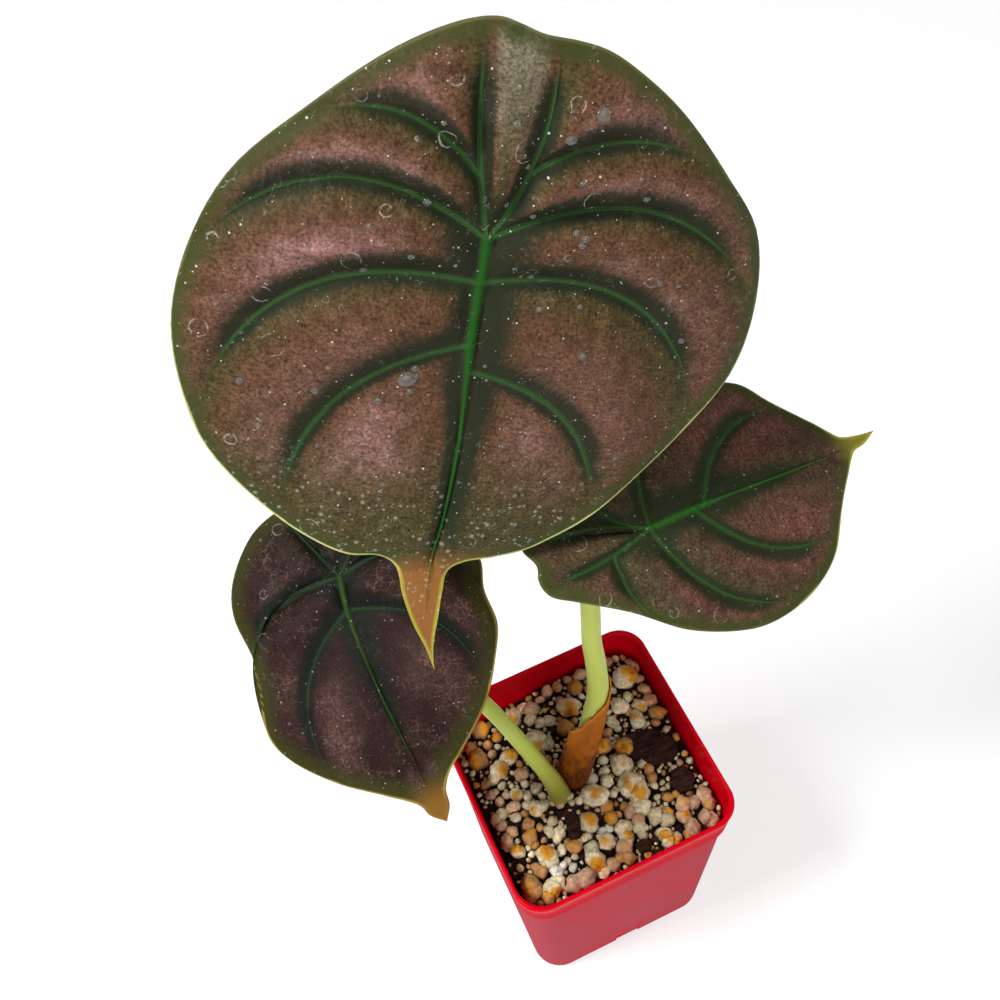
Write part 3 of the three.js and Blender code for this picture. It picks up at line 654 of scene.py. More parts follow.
    def residue_marks(
        self,
        r: Recipe,
        lay: bpy.types.NodeSocket,
        cloud: bpy.types.NodeSocket,
        mottle: bpy.types.NodeSocket,
        ahead: bpy.types.NodeSocket,
    ) -> bpy.types.NodeSocket:
        """Dried water: tiny dots, open arcs, hair-fine squiggles and a spotty film towards the tip.

        Args:
            r: The recipe to add to.
            lay: Coordinates on the blade, in millimetres.
            cloud: A broad noise that gathers the squiggles in places.
            mottle: A finer noise that breaks the arcs.
            ahead: Distance from the hub towards the tip, in millimetres.

        Returns:
            The marks' strength.
        """
        dot = self.spots(r, lay, 2.0, 0.06, 0.12, 0.32, 0.95 * self.dust)
        small = self.spots(r, lay, 1.1, 0.07, 0.14, 0.66, 0.7 * self.dust)
        rings = r.add("TexVoronoi", {"Vector": lay, "Scale": 1 / 9})
        owner = r.add("TexVoronoi", {"Vector": lay, "Scale": 1 / 9}, "Color")
        which = r.add("SeparateColor", {0: owner}, "Green")
        wobble = r.add("MapRange", {0: mottle, 1: 0.3, 2: 0.7, 3: -0.035, 4: 0.035})
        radius = r.add("MapRange", {0: which, 3: 0.07, 4: 0.26})
        off = r.add("Math", {0: rings, 1: radius}, operation="SUBTRACT")
        off = r.add("Math", {0: off, 1: wobble}, operation="ADD")
        off = r.add("Math", {0: off}, operation="ABSOLUTE")
        ring = r.add("MapRange", {0: off, 1: 0.004, 2: 0.016, 3: 0.5 * self.dust, 4: 0.0})
        few = r.add("SeparateColor", {0: owner}, "Blue")
        chosen = r.add("MapRange", {0: few, 1: 0.6, 2: 0.63})
        broken = r.add("MapRange", {0: mottle, 1: 0.45, 2: 0.56})
        ring = r.add("Math", {0: ring, 1: chosen}, operation="MULTIPLY")
        ring = r.add("Math", {0: ring, 1: broken}, operation="MULTIPLY")
        wisp = r.add("TexNoise", {"Vector": lay, "Scale": 1 / 4.2, "Detail": 2.0, "Distortion": 1.5})
        near = r.add("Math", {0: wisp, 1: 0.5}, operation="SUBTRACT")
        near = r.add("Math", {0: near}, operation="ABSOLUTE")
        hair = r.add("MapRange", {0: near, 1: 0.002, 2: 0.007, 3: 0.4 * self.dust, 4: 0.0})
        gather = r.add("MapRange", {0: cloud, 1: 0.5, 2: 0.6})
        hair = r.add("Math", {0: hair, 1: gather}, operation="MULTIPLY")
        hair = r.add("Math", {0: hair, 1: broken}, operation="MULTIPLY")
        blot = self.spots(r, lay, 1.6, 0.14, 0.34, 0.3, 0.34 * self.dust)
        low = r.add("MapRange", {0: ahead, 1: self.film_from, 2: self.film_from + 14})
        blot = r.add("Math", {0: blot, 1: low}, operation="MULTIPLY")
        marks = [dot, small, ring, hair, blot]
        whole = marks[0]
        for mark in marks[1:]:
            whole = r.add("Math", {0: whole, 1: mark}, operation="MAXIMUM")
        return whole


@dataclass(frozen=True)
class Water:
    """Clear water: a sharp small highlight and a lens over what it sits on, with a trace of minerals."""

    clear: str = "#F4F6F4"
    cloudy: str = "#D6DCD4"

    def material(self) -> bpy.types.Material:
        """Build the material.

        Returns:
            The droplets' finish.
        """
        r = Recipe("water_droplet", IOR=1.33, Transmission_Weight=0.9, Specular_IOR_Level=0.5)
        place = r.add("TexCoord", out="Object")
        cloud = r.add("TexNoise", {"Vector": place, "Scale": per_metre(1.5)})
        rough = r.add("MapRange", {0: cloud, 3: 0.02, 4: 0.12})
        colour = r.add("Mix", {0: cloud, 6: linear(self.clear), 7: linear(self.cloudy)}, 2, **RGBA)
        return r.finish(Base_Color=colour, Roughness=rough)


@dataclass(frozen=True)
class PaleSweep:
    """Matt white paper for the floor, lit from below like a light table, so that it is white to its end."""

    paper: str = "#C4C4C4"
    tooth: str = "#C0C0C0"
    glow: float = 0.6

    def material(self) -> bpy.types.Material:
        """Build the material.

        Returns:
            The floor's finish.
        """
        lit = {"Emission_Color": linear("#FFFFFF"), "Emission_Strength": self.glow}
        r = Recipe("paper_sweep", Roughness=0.9, Specular_IOR_Level=0.1, **lit)
        place = r.add("TexCoord", out="Object")
        tooth = r.add("TexNoise", {"Vector": place, "Scale": per_metre(4)})
        colour = r.add("Mix", {0: tooth, 6: linear(self.paper), 7: linear(self.tooth)}, 2, **RGBA)
        return r.finish(Base_Color=colour)


# Pot and what fills it


@dataclass
class Pot:
    """The square nursery pot, with a rim band, a rounded lip and a drain notch under each side.

    rim_half and base_half are half its width at the rim and at the foot, band is the rim band's height, and
    step and shoulder are how far the wall below it stands back. notch is a cutter's width, depth and height.
    """

    height: float = 100.0
    rim_half: float = 38.0
    base_half: float = 33.5
    corner: float = 10.0
    band: float = 13.0
    step: float = 0.7
    shoulder: float = 0.6
    wall: float = 1.4
    floor: float = 1.6
    notch: Point = (9.0, 5.0, 8.0)
    corner_cells: int = 12
    side_cells: int = 8
    finish: RedPolypropylene = RedPolypropylene()

    def outer_half(self, z: float) -> float:
        """Half the outside width below the band."""
        widening = self.rim_half - self.step - self.shoulder - self.base_half
        return self.base_half + widening * z / (self.height - self.band)

    def inner_half(self, z: float) -> float:
        """Half the inside width."""
        return self.outer_half(z) - self.wall

    def outline(self, half: np.ndarray, radius: np.ndarray, column: np.ndarray) -> np.ndarray:
        """Points on a square with round corners.

        Args:
            half: Half its width, for each point.
            radius: Its corner radius, for each point.
            column: Where each point is on the way round, in cells.

        Returns:
            X and Y, one point a row.
        """
        cells = self.corner_cells + self.side_cells
        quarter, cell = np.divmod(column, cells)
        on_side = np.clip((cell - self.corner_cells) / self.side_cells, 0, 1)[:, None]

        def arc(share: np.ndarray, turn: np.ndarray) -> np.ndarray:
            """Points on the corners' arcs.

            Args:
                share: How far round its corner each point is.
                turn: Which corner it is on, counted from the one at +X and +Y.

            Returns:
                X and Y, one point a row.
            """
            angle = (turn + share) * math.pi / 2
            middle = (turn + 0.5) * math.pi / 2
            towards = np.stack([np.sign(np.cos(middle)), np.sign(np.sin(middle))], 1)
            centre = towards * (half - radius)[:, None]
            return centre + np.stack([np.cos(angle), np.sin(angle)], 1) * radius[:, None]

        here = arc(np.minimum(cell / self.corner_cells, 1), quarter)
        return here * (1 - on_side) + arc(np.zeros_like(half), quarter + 1) * on_side

    def profile(self) -> list[tuple[float, float, float, float]]:
        """Draw the wall's section, from under the floor, up the outside and down the inside.

        Returns:
            Half width, corner radius, height and haze of each row; the haze is partly painted floor
            reflection.
        """
        foot = self.height - self.band
        rows = [
            (0.0, 0.0, 0.0, 0.0),
            (self.base_half - 6, 4.0, 0.0, 0.2),
            (self.base_half - 1.4, 8.6, 0.0, 0.4),
        ]
        for turn in (15, 40, 65, 90):
            a = math.radians(turn)
            out, up = 1.4 * math.sin(a), 1.4 * (1 - math.cos(a))
            rows.append((self.base_half - 1.4 + out, 8.6 + out, up, 0.9))
        for z in np.linspace(4, foot - 2.2, 8):
            rows.append((self.outer_half(z), self.corner, float(z), 1.0))
        rows += [
            (self.outer_half(foot), self.corner, foot - 0.9, 1.0),
            (self.outer_half(foot) + 0.1, self.corner, foot - 0.45, 0.8),
            (self.rim_half - 0.75, self.corner, foot - 0.1, 0.5),
            (self.rim_half - 0.52, self.corner, foot + 0.4, 0.42),
            (self.rim_half - 0.48, self.corner, foot + 1.2, 0.38),
            (self.rim_half - 0.25, self.corner, foot + 6.5, 0.22),
            (self.rim_half - 0.05, self.corner, self.height - 1.6, 0.03),
        ]
        lip = self.wall / 2
        for turn in range(0, 181, 30):
            a = math.radians(turn)
            out, up = lip * math.cos(a), lip * math.sin(a)
            rows.append((self.rim_half - lip + out, self.corner - lip, self.height - lip + up, 0.0))
        inner = self.corner - self.wall
        rows += [
            (self.rim_half - self.wall - 0.02, inner, self.height - 1.6, 0.0),
            (self.rim_half - self.wall - 0.3, inner, foot + 1, 0.0),
        ]
        for z in np.linspace(foot - 1.2, self.floor + 2, 8):
            rows.append((self.inner_half(z), inner, float(z), 0.0))
        rows += [
            (self.inner_half(0) - 0.6, inner - 0.6, self.floor + 0.4, 0.0),
            (self.inner_half(0) - 2, inner - 2, self.floor, 0.0),
            (0.0, 0.0, self.floor, 0.0),
        ]
        return rows

    def build(self) -> bpy.types.Object:
        """Bend a grid round the profile, cut the notches and dress the pot.

        Returns:
            The pot.
        """
        rows = np.array(self.profile())
        around = 4 * (self.corner_cells + self.side_cells)
        bm, column, row = grid_shares(around, len(rows) - 1)
        half, radius, z, haze = (rows[row, k] for k in range(4))
        flat = self.outline(half, radius, column % around)
        move_all(bm, np.column_stack([flat, z]))
        # Each row's haze, partly painted floor reflection, goes onto its vertices
        film = bm.verts.layers.float.new("haze")
        for vertex, value in zip(bm.verts, haze):
            vertex[film] = value
        close_up(bm)
        pot = as_piece(bm, "nursery_pot", self.finish.material(), "pot_plastic", "pot", sharp=35)
        self.cut_notches(pot)
        return pot

    def cut_notches(self, pot: bpy.types.Object) -> None:
        """Cut a drain notch through the wall at the middle of each side's foot.

        Args:
            pot: The pot, changed in place.
        """
        bm = bmesh.new()
        for side in range(4):
            turn = Matrix.Rotation(side * math.pi / 2, 4, "Z")
            shift = Matrix.Translation((0, -self.base_half * MM, 0))
            size = Matrix.Diagonal((*[n * MM for n in self.notch], 1))
            bmesh.ops.create_cube(bm, size=1.0, matrix=turn @ shift @ size)
        mesh = bpy.data.meshes.new("notch_cutter")
        bm.to_mesh(mesh)
        bm.free()
        cutter = bpy.data.objects.new("notch_cutter", mesh)
        bpy.context.scene.collection.objects.link(cutter)
        cut = pot.modifiers.new("notches", "BOOLEAN")
        cut.operation, cut.solver, cut.object = "DIFFERENCE", "EXACT", cutter
        whole = bpy.data.meshes.new_from_object(pot.evaluated_get(bpy.context.evaluated_depsgraph_get()))
        pot.modifiers.clear()
        pot.data = whole
        bpy.data.objects.remove(cutter)


@dataclass
class Bed:
    """The lie of the mix inside the pot, shared by all that rests on it.

    hollow, mound and heap are x, y, depth and spread, and a depth below zero is a rise.
    """

    level: float = 86.0
    hollow: tuple[float, float, float, float] = (-30.0, 33.0, 8.0, 17.0)
    mound: tuple[float, float, float, float] = (-3.0, -1.0, -3.4, 11.0)
    heap: tuple[float, float, float, float] = (-10.4, -8.8, -4.4, 4.6)

    def height(self, x: float | np.ndarray, y: float | np.ndarray) -> float | np.ndarray:
        """Height of the mix.

        Args:
            x: The place, or many.
            y: The same, across.

        Returns:
            Its height there.
        """
        z = self.level + 0.5 * np.sin(x * 0.45 + 1.3) * np.cos(y * 0.38)
        for cx, cy, depth, spread in (self.hollow, self.mound, self.heap):
            z = z - depth * np.exp(-((x - cx) ** 2 + (y - cy) ** 2) / (2 * spread**2))
        return z


@dataclass
class PottingMix:
    """The dark gritty mix: a crumbly top over a plug that fills the pot."""

    pot: Pot
    bed: Bed
    cells: int = 110
    rise: float = 2.0
    gap: float = 0.25
    finish: DampMix = DampMix()

    def build(self) -> bpy.types.Object:
        """Crumple a grid, then drop its border down the pot's walls and close it below.

        Returns:
            The mix.
        """
        bm, column, row = grid_shares(self.cells, self.cells)
        x, y = 2 * column / self.cells - 1, 2 * row / self.cells - 1
        half = self.pot.inner_half(self.bed.level) - self.gap
        bulge = np.maximum(np.hypot(x, y), 1e-6)
        square = np.maximum(np.maximum(abs(x), abs(y)), 1e-6)
        soften = 1 - 0.075 * smoothstep(np.minimum(abs(x), abs(y)) / square, 0.62, 1.0) * square
        x, y = x * half * soften, y * half * soften
        z = self.bed.height(x, y) + self.rise
        crumbs = noise_at(x, y, 3.1, 2.6) + 0.55 * noise_at(x, y, 9.7, 1.1)
        move_all(bm, np.column_stack([x, y, z + crumbs * smoothstep(-bulge, -1.5, -0.9)]))
        border = [edge for edge in bm.edges if edge.is_boundary]
        walls = bmesh.ops.extrude_edge_only(bm, edges=border)["geom"]
        taper = (self.pot.inner_half(self.pot.floor) - self.gap) / half
        for vertex in (g for g in walls if isinstance(g, bmesh.types.BMVert)):
            vertex.co = (vertex.co.x * taper, vertex.co.y * taper, (self.pot.floor + 0.3) * MM)
        bmesh.ops.holes_fill(bm, edges=[edge for edge in bm.edges if edge.is_boundary])
        bmesh.ops.recalc_face_normals(bm, faces=bm.faces[:])
        return as_piece(bm, "gritty_mix", self.finish.material(), "potting_mix", "potting_mix", sharp=80)


class Tone(Enum):
    """Ground colours of the pumice stones."""

    CREAM = "#FFF0C6"
    PINK = "#DDB28E"
    GREY = "#E6D6AC"
    TAN = "#CE975C"
    WHITE = "#F4F0E4"


@dataclass(frozen=True)
class Stone:
    """One pumice stone: its place, radius, ground colour and how rusty it is, from 0 to 1."""

    x: float
    y: float
    radius: float
    tone: Tone
    rust: float


@dataclass
class PumiceTop:
    """The pumice on the mix: larger stones where they were seen to lie, and seeded small ones between.

    stems holds the places of the stalks, which keep stem_clear free round them, and fill is the number of
    stones that are added to the laid ones.
    """

    pot: Pot
    bed: Bed
    bark: tuple["BarkChip", ...]
    stems: tuple[Plan, ...] = ((-3.2, 0.3), (2.8, 4.4), (-10.2, -5.4))
    stem_clear: float = 4.6
    fill: int = 300
    seed: int = 5
    finish: Pumice = Pumice()

    # x, y and radius, then the tone's first letter and the rust in tenths
    LAID = """
        28.5 24.2 5.5 c8; 21.9 16.1 3.4 c3; 27.9 12.9 3.1 c5; 32.1 13.3 2.7 p3; 32.1 8.1 2.7 t3;
        32.4 17.9 2.4 p1; 32.1 25.8 2.8 p1; 17.1 11.4 2.4 g0; 17.7 8.8 1.4 g0; 25 9 3 c5; 30.1 5.6 2 t3;
        11.6 29.1 3.1 t3; 15 32.4 2.4 p1; 6.1 32.6 2.1 t1; 2.2 32.1 2.4 p1; 6.4 31.9 2.1 t2;
        5.9 23 3.8 c7; -11.9 30.2 3.5 c6; -7.9 31.4 2.4 c3; -5.1 29 2.8 p1; -15.9 32.1 2.8 t7;
        -23.8 31.9 3.1 t8; -7.3 25.9 2.4 g0; -4.8 23.1 2.4 g0; -1.8 22.3 2.4 g0; -9.3 17.6 4.4 c5;
        -5.9 14.6 2.4 g0; -29 22.2 3.8 t6; -29.4 26.7 2.8 t6; -23.9 21.7 2.1 p1; -19.9 26.5 2.1 t7;
        -19.7 17.5 3.7 c5; -23.9 14.6 3.4 c7; -26.6 12.8 2.7 g1; -18.5 9.1 2.7 p4; -9.5 9.3 2.7 t2;
        -25.7 9.1 1.7 c0; -22.7 3.4 2.3 c6; -19.6 1.4 2 c0; -16.1 1.6 2.3 g0; -18.7 5.6 1.7 c0;
        -30 7.6 2.3 p1; -28.7 3.9 2 p0; -25.6 -0 2.6 p0; -29.8 -0.4 2.3 g0; -19.1 -4.6 2.9 c4;
        -16.7 -5 2.3 c2; -20.9 -1.4 2 c0; -32.5 -1.7 2.3 p1; -31.5 -4.1 2 p1; -26.3 -3.7 2 g0;
        -23.7 -7.5 2.6 t1; -24.9 -11.6 2.9 t5; -29.4 -7.3 2.3 p4; -32.2 -9.5 2.6 p3; -32.5 -11.3 2.3 p2;
        -30.5 -14.3 2.9 c8; -24.6 -14.6 1.6 t3; -16.3 -10.8 1.9 c2; -18.4 -13 2.3 c1;
        -16.4 -15.5 2.6 c0; -6 -16.3 3.6 c7; -0.7 -9.4 3.9 c6; -0.8 -1.6 2.6 g0; 1 -3.9 2.3 g0;
        5.2 -7.1 2.6 c0; 6.2 -3.2 2 c0; 11.7 -11 4.3 c4; 13.6 -14.3 3.9 c5; 12.2 -3.7 4 c1;
        16.1 1.5 3.3 t7; 14.3 3.8 2 g0; 10 4.9 3 t8; 7.7 0.5 2 c0; 18.9 -5.8 2 g0; 20 -8.7 2 t1;
        19.8 -11.2 2 t1; 11.8 -19.1 2.9 c1; 11.6 -16 2.3 c1; 14.7 -23.2 3.2 g0; 17.2 -25.9 2.9 g0;
        7.6 -18.7 2.6 p1; 8.8 -22 2.6 p1; 1.6 -14.2 2.3 t6; 1.1 -18 2.6 t7; 3.5 -22.3 3.2 c2;
        2.8 -25.8 2.9 c7; 8.1 -24.6 2.2 g0; 7.9 -26.9 1.9 g0; -3.5 -24 2.9 c5; -9 -24.2 2.9 g0;
        -13.4 -20.9 2.6 t2; -14.7 -18.5 1.6 t1; -17.3 -19.6 1.9 c0; -22.6 -20.1 3.8 c7;
        -21.9 -25.3 2.2 w0; -19.3 -24.4 1.6 w0; -16.7 -26.2 1.6 w0; 0.4 -28.3 3.2 p2; 0.3 -31.1 2.5 t1;
        -9.3 -28.3 3.8 c8; -8.9 -31.8 2.5 c3; -5.2 -30.8 2.9 p1; -18.6 -31.4 3.8 p0; -14.7 -31.4 3.8 p0;
        -26.5 -23.2 2.5 t2; -27.3 -21.1 1.9 t1; -30.8 -25.5 3.5 t3; -31.7 -28.2 3.1 t5;
        -25.7 -29.4 3.5 c4; -23.4 -29 2.8 c1; -27.7 -31.5 2.5 t6; 14.1 -29.6 2.9 c6; 14.4 -32.3 2.5 c6;
        16.9 -32.5 2.2 c5; 21 -32.8 1.9 t3; 24.5 -24 2.9 p3; 22.8 -27.6 2.9 p5; 27.6 -24.5 2.9 p1;
        32 -24 2.9 p1; 32 -27.1 2.6 p4; 28.8 -30.6 2.9 p0; 30.2 -32.3 2.6 p0; 23.6 -31.5 2.9 p1;
        23.7 -32.5 2.2 p1; 21.3 -19.2 2 t4; 24.1 -19.5 1.6 t5; 18.8 -23.8 2.3 t5; 19.3 -26.1 1.6 t6;
        19.1 -13.7 1.3 c0; 22.1 -6.9 1.3 t1; 5.4 -11.1 1.6 c0; 7.3 -10.2 1.3 g0; -6.1 -9.4 1.6 g0;
        -8.6 -9.2 1.3 g0; -13.5 -5.7 1.6 p1; -12 -8 1.6 p1; -9.2 -19.7 1.9 c4; -11.3 -20.4 1.3 c1;
        -3.2 -20 1.6 w0; -0.8 -20.2 1.6 w0; -14.7 -23.5 1.3 g0; -17.3 -23.8 1.3 g0; -10.8 -4.9 1.3 c2;
        -4.5 -21.2 1.3 c1; 3.8 -17.7 1.6 t4; 6.9 -16 1.6 t5; 9.4 -16.8 1.3 c1; -18.5 -20.4 1.3 c0;
        -19.4 -17.2 1 c2; 12.6 -20.4 1.9 c1; 0.1 8.4 1.7 t5; 6.4 3.8 1.3 t2; -10.3 -5.2 1.3 t1;
        -8.3 -7.1 1.6 g0; -0.9 10.9 1.3 t5; -8 -19.5 1.6 c2; -2 -30.2 1.9 t2; -15.5 -1.8 1.6 g0;
        -13.5 -3.6 1.3 g0; -25.6 5.1 1.7 g0; -22.8 7.2 1.3 c0; -30.3 12 2 t1; -23.6 25.9 2.1 t2;
        -15.7 28.8 2.1 t4; -12.2 24 1.7 t3; -11.4 28.1 1.7 g0; 4.9 27.4 1.7 t2; 19.6 32.9 1.7 t1;
        25.8 32.6 2.1 t2; 21.4 29.4 2.1 t4; 15.8 26 2.1 p1; 22.5 22.4 1.7 g0; 26.1 17.6 2.1 c1;
        23.9 12.7 1.7 t2; 13.6 14.2 2 g0; 13.7 9.2 1.7 t1; 1.6 16.6 3.3 t6; 32.6 21.8 2.1 p1;
        32.9 16.6 1.7 p1; 32.9 9.1 1.7 p2; -1.1 30.9 1.7 p2; 10.6 32.9 1.7 p1
    """

    def laid(self) -> list[Stone]:
        """Read the table of the stones whose places are known.

        Returns:
            The stones, in the table's order.
        """
        tones = {tone.name[0]: tone for tone in Tone}
        stones = []
        for entry in self.LAID.split(";"):
            x, y, radius, mark = entry.split()
            stones.append(Stone(float(x), float(y), float(radius), tones[mark[0].upper()], int(mark[1]) / 10))
        return stones

    def free(self, x: float, y: float, radius: float, stones: list[Stone], closeness: float) -> bool:
        """Whether a new stone fits between stems, bark and the stones so far.

        Args:
            x: Its place.
            y: The same, across.
            radius: Its radius.
            stones: The stones so far.
            closeness: Share of the two radii that stones keep between their middles.

        Returns:
            True if it fits.
        """
        edge = self.pot.inner_half(self.bed.level) - radius * 0.8
        if max(abs(x), abs(y)) > edge or math.hypot(x, y) > edge * 1.32:
            return False
        if any(math.hypot(x - a, y - b) < self.stem_clear + radius for a, b in self.stems):
            return False
        if any(chip.covers(x, y) for chip in self.bark):
            return False
        return all(math.hypot(x - s.x, y - s.y) > closeness * (radius + s.radius) for s in stones)

    def scattered(self, laid: list[Stone]) -> list[Stone]:
        """Fill the corner that the leaves hide with stones and the gaps elsewhere with small ones.

        Args:
            laid: The stones whose places are known.

        Returns:
            All stones, the laid ones first.
        """
        random = np.random.default_rng(self.seed)
        tones = [Tone.CREAM, Tone.PINK, Tone.GREY, Tone.TAN]
        stones = list(laid)
        for attempt in range(6000):
            x, y = random.uniform(-34.5, 34.5, 2)
            hidden = x < -17 and y > 8
            large = attempt < 900
            radius = random.uniform(2.0, 3.8) if large else random.uniform(0.55, 1.5)
            tone = tones[random.choice(4, p=(0.4, 0.2, 0.25, 0.15))]
            rust = random.choice((0, 0.2, 0.6, 0.8), p=(0.5, 0.2, 0.2, 0.1))
            if (large and not hidden) or not self.free(x, y, radius, stones, 0.85):
                continue
            stones.append(Stone(x, y, radius, tone, rust))
            if len(stones) >= len(laid) + self.fill:
                break
        return stones

    def add_stone(self, bm: bmesh.types.BMesh, stone: Stone, random: np.random.Generator) -> None:
        """Add one lumpy stone with its attributes.

        Args:
            bm: The mesh of all stones.
            stone: What to add.
            random: Source of its turn and lumps.
        """
        detail = 3 if stone.radius > 2.1 else 2
        made = bmesh.ops.create_icosphere(bm, subdivisions=detail, radius=1.0)["verts"]
        turn = Euler(random.uniform(0, 6.28, 3)).to_matrix()
        stretch = Vector((random.uniform(0.98, 1.25), random.uniform(0.8, 1.0), random.uniform(0.72, 0.95)))
        where = Vector(random.uniform(-50, 50, 3))
        lift = self.bed.height(stone.x, stone.y) + 1.9 + stone.radius * 0.42
        centre = Vector((stone.x, stone.y, lift))
        rusty_side = Vector(random.normal(size=3)).normalized() * 0.6 + Vector((0, -0.25, 1.1))
        rusty_side.normalize()
        base = linear(stone.tone.value)
        vary = random.uniform(0.82, 1.1)
        colour = bm.verts.layers.float_color["tone"]
        rust, skirt = bm.verts.layers.float["rust"], bm.verts.layers.float["skirt"]
        for vertex in made:
            way = vertex.co.copy()
            lump = 1 + 0.3 * noise.noise(way * 1.4 + where) + 0.13 * noise.noise(way * 3.4 + where)
            shape = turn @ (Vector(a * b for a, b in zip(way, stretch)) * lump)
            vertex.co = (centre + shape * stone.radius) * MM
            vertex[colour] = (base[0] * vary, base[1] * vary, base[2] * vary, 1)
            facing = max(0.0, shape.normalized().dot(rusty_side)) ** 1.6
            vertex[rust] = (0.35 + 0.65 * stone.rust) * (stone.rust > 0) * facing
            # Soil and painted shade, stronger towards the stone's underside
            vertex[skirt] = min(1.0, max(0.0, 0.68 - 0.9 * shape.z))

    def build(self) -> bpy.types.Object:
        """Make all stones as one piece.

        Returns:
            The stones.
        """
        random = np.random.default_rng(self.seed)
        bm = bmesh.new()
        bm.verts.layers.float_color.new("tone")
        bm.verts.layers.float.new("rust")
        bm.verts.layers.float.new("skirt")
        for stone in self.scattered(self.laid()):
            self.add_stone(bm, stone, random)
        return as_piece(bm, "pumice_stones", self.finish.material(), "pumice", "pumice_bed", sharp=80)


@dataclass
class BarkChip:
    """One flat flake of bark on the mix, its outline drawn round its own place and turned by some degrees."""

    node: str
    outline: tuple[Plan, ...]
    at: Plan
    turn: float
    bed: Bed
    thickness: float = 2.4
    rise: float = 1.9

    def covers(self, x: float, y: float) -> bool:
        """Whether a place is under the chip.

        Args:
            x: The place.
            y: The same, across.

        Returns:
            True if the chip's outline goes round it.
        """
        a = -math.radians(self.turn)
        dx, dy = x - self.at[0], y - self.at[1]
        px, py = dx * math.cos(a) - dy * math.sin(a), dx * math.sin(a) + dy * math.cos(a)
        inside = False
        for (x0, y0), (x1, y1) in zip(self.outline, self.outline[1:] + self.outline[:1]):
            if (y0 > py) != (y1 > py) and px < (x1 - x0) * (py - y0) / (y1 - y0) + x0:
                inside = not inside
        return inside

    def build(self, material: bpy.types.Material) -> bpy.types.Object:
        """Extrude the outline, bevel and roughen it.

        Args:
            material: The bark finish, shared by all chips.

        Returns:
            The chip.
        """
        bm = bmesh.new()
        face = bm.faces.new([bm.verts.new((x, y, 0)) for x, y in self.outline])
        top = bmesh.ops.extrude_face_region(bm, geom=[face])["geom"]
        raised = [g for g in top if isinstance(g, bmesh.types.BMVert)]
        bmesh.ops.translate(bm, verts=raised, vec=(0, 0, self.thickness))
        bmesh.ops.bevel(
            bm,
            geom=bm.edges[:],
            offset=0.45,
            segments=2,
            profile=0.5,
            affect="EDGES",
            material=-1,
            clamp_overlap=True,
        )
        bmesh.ops.triangulate(bm, faces=bm.faces[:])
        for _ in range(4):
            long = [edge for edge in bm.edges if edge.calc_length() > 1.1]
            bmesh.ops.subdivide_edges(bm, edges=long, cuts=1, use_grid_fill=True)
            bmesh.ops.triangulate(bm, faces=[f for f in bm.faces if len(f.verts) > 3])
        lift = self.bed.height(*self.at) + self.rise
        turn = Matrix.Rotation(math.radians(self.turn), 3, "Z")
        for vertex in bm.verts:
            p = vertex.co.copy()
            way = Vector((p.x * 0.16, p.y * 0.5, p.z * 0.5)) + Vector((*self.at, 0))
            p.z += 0.55 * noise.noise(way) + 0.25 * noise.noise(way * 3)
            p.x += 0.5 * noise.noise(p * 0.7 + Vector((4, 4, 4)))
            p.y += 0.5 * noise.noise(p * 0.7 + Vector((9, 1, 2)))
            vertex.co = (turn @ p + Vector((*self.at, lift))) * MM
        bmesh.ops.recalc_face_normals(bm, faces=bm.faces[:])
        return as_piece(bm, self.node + "_flake", material, "bark", self.node, sharp=40)


# Stems


class StemLine:
    """A stem's centre line, measured along its length."""

    def __init__(self, path: tuple[Point, ...]) -> None:
        """Sample the curve through the path finely.

        Args:
            path: Points that the centre line goes through, from the foot up.
        """
        points = np.array(path, float)
        self.points = curve_through(points, np.linspace(0, len(points) - 1, 1600))
        steps = np.linalg.norm(np.diff(self.points, axis=0), axis=1)
        self.lengths = np.concatenate([[0], np.cumsum(steps)])

    def centre(self, share: np.ndarray) -> np.ndarray:
        """Points at shares of the length."""
        at = np.clip(share, 0, 1) * self.lengths[-1]
        return np.column_stack([np.interp(at, self.lengths, self.points[:, k]) for k in range(3)])

    def frames(self, share: np.ndarray) -> tuple[np.ndarray, np.ndarray, np.ndarray]:
        """Centre line and the two directions across it.

        Args:
            share: Shares of the length.

        Returns:
            Points of the centre line, and two unit directions across the stem, the first near +X.
        """
        along = self.centre(share + 2e-3) - self.centre(share - 2e-3)
        along /= np.linalg.norm(along, axis=1, keepdims=True)
        across = np.array([1.0, 0, 0]) - along * along[:, :1]
        across /= np.linalg.norm(across, axis=1, keepdims=True)
        return self.centre(share), across, np.cross(along, across)

    def share_at_height(self, z: np.ndarray) -> np.ndarray:
        """Shares of the length at which the lower stem reaches heights."""
        low = self.lengths <= 0.6 * self.lengths[-1]
        return np.interp(z, self.points[low, 2], self.lengths[low] / self.lengths[-1])


